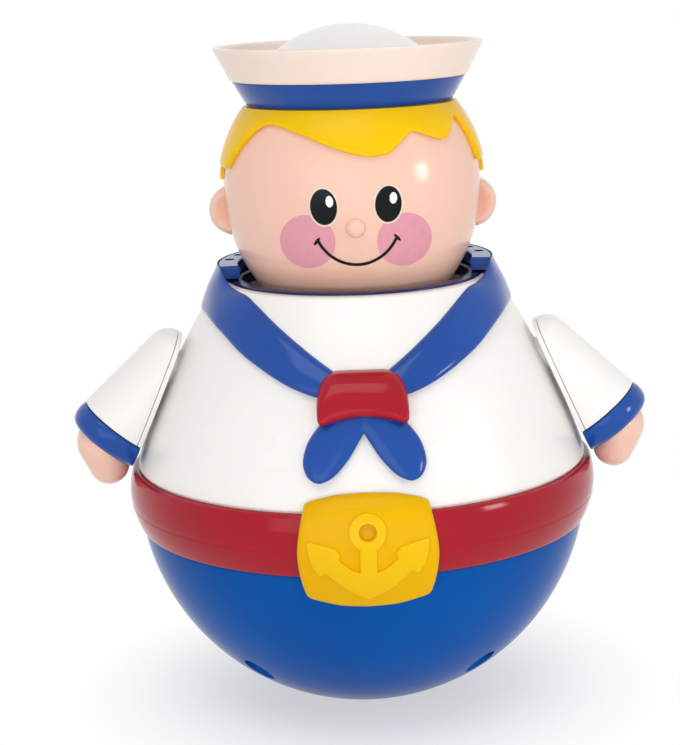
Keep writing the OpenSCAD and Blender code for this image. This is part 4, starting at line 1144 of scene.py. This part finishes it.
def makeCuff(label):
    tall, radius, step = cuff["length"], arm["radius"], cuff["step"]
    low, high = (share * tall for share in cuff["bulgeShares"])
    bulge = bendPoints((radius + step, low), (radius + step, high), (radius - cuff["inset"], tall), 12)
    start = [(0, cuff["gap"]), (radius - step, cuff["gap"], cuff["startRound"])]
    ring = lathe(start + bulge + [(0, tall)], 96)
    for vert in ring.verts:
        vert.co.z -= endRise(vert.co.x)
    ring = halved(placed(ring, sleevePlace), (0, 0, arm["backGap"]), (0, 0, 1))
    addToArm("cuff", "cuff", label, softened(ring, cuff["edge"], 50, 3), bluePlastic, "blue_plastic")


hand = {"palm": 7.6 * mm, "finger": 5.5 * mm, "fingerReach": 5.4 * mm, "fingerDropShare": 0.6,
        "palmHalf": 2.28 * mm, "edge": 0.6 * mm, "placeShares": (0.62, 0.38)}


def makeHand(label):
    # a tapered egg from the palm to the fingers, widened across
    tall, palm, finger = cuff["length"], hand["palm"], hand["finger"]
    along, out = (share * tall for share in hand["placeShares"])
    run = Vector((hand["fingerReach"], 0, -hand["fingerDropShare"] * hand["fingerReach"]))
    lean = math.degrees(math.asin((palm - finger) / run.length))
    egg = lathe(arcPoints((0, 0), palm, -90, lean, 20) + arcPoints((0, run.length), finger, lean, 90, 16), 72)
    bmesh.ops.scale(egg, verts=egg.verts, vec=(1 + hand["palmHalf"] / palm, 1, 1))
    turn = run.to_track_quat("Z", "Y").to_matrix().to_4x4()
    turn.translation = (arm["reach"] + along, 0, arm["lift"] + out)
    wrist = sleevePlace @ Vector((0, 0, tall / 2))
    egg = halved(placed(egg, turn), wrist, sleevePlace.col[2].xyz)
    egg = halved(egg, (0, 0, arm["backGap"]), (0, 0, 1))
    addToArm("hand", "hand", label, softened(egg, hand["edge"], 40, 3), skinPlastic, "skin_plastic")


for label in ("left", "right"):
    makeSleeve(label)
    makeCuff(label)
    makeHand(label)
print("arms made")


# Pieces inside keep their own solids

insideFinish = {"counterweight": weightIron, "chime_rods": rodSteel, "clapper_pin": rodSteel}


def finishInside():
    for name, node in frame["nodes"].items():
        if node.hide_render:
            continue
        steel = "screw" in name or "washer" in name
        finish = insideFinish.get(name, screwSteel if steel else innerPlastic)
        node.data.materials.clear()
        node.data.materials.append(finish)


finishInside()
print("inside finished")


# Floor, light and camera

stageLook = {"reach": 6.0, "sink": 0.02 * mm, "pale": (238, 238, 238), "paler": (244, 244, 244),
             "rough": 0.85, "near": 0.03, "far": 0.09, "glow": 1.0, "shade": 0.45}


def makeFloor():
    bm = bmesh.new()
    bmesh.ops.create_circle(bm, cap_ends=True, segments=96, radius=stageLook["reach"])
    floor = newObject(moved(bm, (0, 0, cadBox[0].z - stageLook["sink"])), "floor")
    n = Nodes("paleFloor")
    n.setTo(Roughness=stageLook["rough"])
    n.wire("Base Color", n.mixed(n.noise(3, 2), linear(*stageLook["pale"]), linear(*stageLook["paler"])))
    # far from the toy the floor turns into an even white background
    away = n.add("ShaderNodeVectorMath", {0: n.place}, operation="LENGTH").outputs["Value"]
    share = n.ranged(away, stageLook["near"], stageLook["far"], 1 - stageLook["shade"], 1.0)
    seen = n.add("ShaderNodeLightPath").outputs
    shown = n.maths("MAXIMUM", seen["Is Camera Ray"],
                    n.maths("MAXIMUM", seen["Is Glossy Ray"], seen["Is Transmission Ray"]))
    white = n.add("ShaderNodeEmission", {"Color": (1, 1, 1, 1), "Strength": stageLook["glow"]})
    mix = n.add("ShaderNodeMixShader", {0: n.maths("MULTIPLY", share, shown), 1: n.shader.outputs[0],
                                        2: white.outputs[0]})
    n.tree.links.new(mix.outputs[0], n.tree.nodes["Material Output"].inputs["Surface"])
    floor.data.materials.append(n.material)


lamps = {  # place, aim, size, power
    "overhead": ((-0.12, -0.5, 1.0), (0, 0, 0.1), (0.8, 0.5), 2.25),
    "sideStrip": ((0.85, -0.42, 0.31), (0, 0, 0.13), (0.18, 0.2), 1.3),
    "frontFill": ((-0.5, -1.35, 0.3), (0, 0, 0.08), (1.3, 0.9), 3.9),
    "lowFill": ((0.1, -0.9, 0.07), (0, 0, 0.12), (1.2, 0.12), 2.2),
}


def makeLamps():
    for name, (place, aim, size, power) in lamps.items():
        data = bpy.data.lights.new(name, "AREA")
        data.shape = "RECTANGLE"
        data.size, data.size_y = size
        data.energy = power
        lamp = bpy.data.objects.new(name, data)
        lamp.location = place
        lamp.rotation_euler = (Vector(aim) - Vector(place)).to_track_quat("-Z", "Y").to_euler()
        # the low fill only opens the shade; its long strip would show in the face
        lamp.visible_glossy = name != "lowFill"
        bpy.context.scene.collection.objects.link(lamp)


surround = {"front": 0.14, "behind": 0.8, "bright": (0, 0.8, 0.6)}


def makeWorld():
    # a studio that is white behind and above the toy and dimmer in front of it
    world = bpy.data.worlds.new("studio")
    world.use_nodes = True
    nodes, link = world.node_tree.nodes, world.node_tree.links.new
    facing = nodes.new("ShaderNodeVectorMath")
    facing.operation = "DOT_PRODUCT"
    facing.inputs[1].default_value = surround["bright"]
    link(nodes.new("ShaderNodeTexCoord").outputs["Generated"], facing.inputs[0])
    level = nodes.new("ShaderNodeMapRange")
    for key, value in (("From Min", -1), ("From Max", 1), ("To Min", surround["front"]),
                       ("To Max", surround["behind"])):
        level.inputs[key].default_value = value
    link(facing.outputs["Value"], level.inputs["Value"])
    soft, white = nodes["Background"], nodes.new("ShaderNodeBackground")
    for background in (soft, white):
        background.inputs["Color"].default_value = (1, 1, 1, 1)
    white.inputs["Strength"].default_value = 1.0
    link(level.outputs[0], soft.inputs["Strength"])
    # what is seen straight on, mirrored or through glass is the even white
    seen = nodes.new("ShaderNodeLightPath").outputs
    shown = seen["Is Camera Ray"]
    for ray in ("Is Glossy Ray", "Is Transmission Ray"):
        either = nodes.new("ShaderNodeMath")
        either.operation = "MAXIMUM"
        link(shown, either.inputs[0])
        link(seen[ray], either.inputs[1])
        shown = either.outputs[0]
    mix = nodes.new("ShaderNodeMixShader")
    for socket, value in zip(mix.inputs, (shown, soft.outputs[0], white.outputs[0])):
        link(value, socket)
    link(mix.outputs[0], nodes["World Output"].inputs["Surface"])
    bpy.context.scene.world = world
    bpy.context.scene.view_settings.view_transform = "Standard"


shot = {"distance": 535 * mm, "elevation": 11.9, "yaw": -0.85, "aimHeight": 89.5 * mm, "pan": 0.54,
        "roll": -1.9, "focalPixels": 1950, "longSidePixels": 745, "sensor": 36, "clip": (0.01, 50)}


def makeCamera():
    data = bpy.data.cameras.new("camera")
    data.sensor_width = shot["sensor"]
    data.lens = shot["focalPixels"] / shot["longSidePixels"] * shot["sensor"]
    data.clip_start, data.clip_end = shot["clip"]
    up, side = math.radians(shot["elevation"]), math.radians(shot["yaw"])
    back = Vector((math.sin(side) * math.cos(up), -math.cos(side) * math.cos(up), math.sin(up)))
    turn = (-back).to_track_quat("-Z", "Y").to_matrix()
    turn = turn @ Matrix.Rotation(math.radians(shot["pan"]), 3, "Y")
    turn = turn @ Matrix.Rotation(math.radians(shot["roll"]), 3, "Z")
    place = Vector((0, 0, shot["aimHeight"])) + back * shot["distance"]
    camera = bpy.data.objects.new("camera", data)
    camera.matrix_world = Matrix.Translation(place) @ turn.to_4x4()
    bpy.context.scene.collection.objects.link(camera)
    bpy.context.scene.camera = camera


makeFloor()
makeLamps()
makeWorld()
makeCamera()
print("stage made")
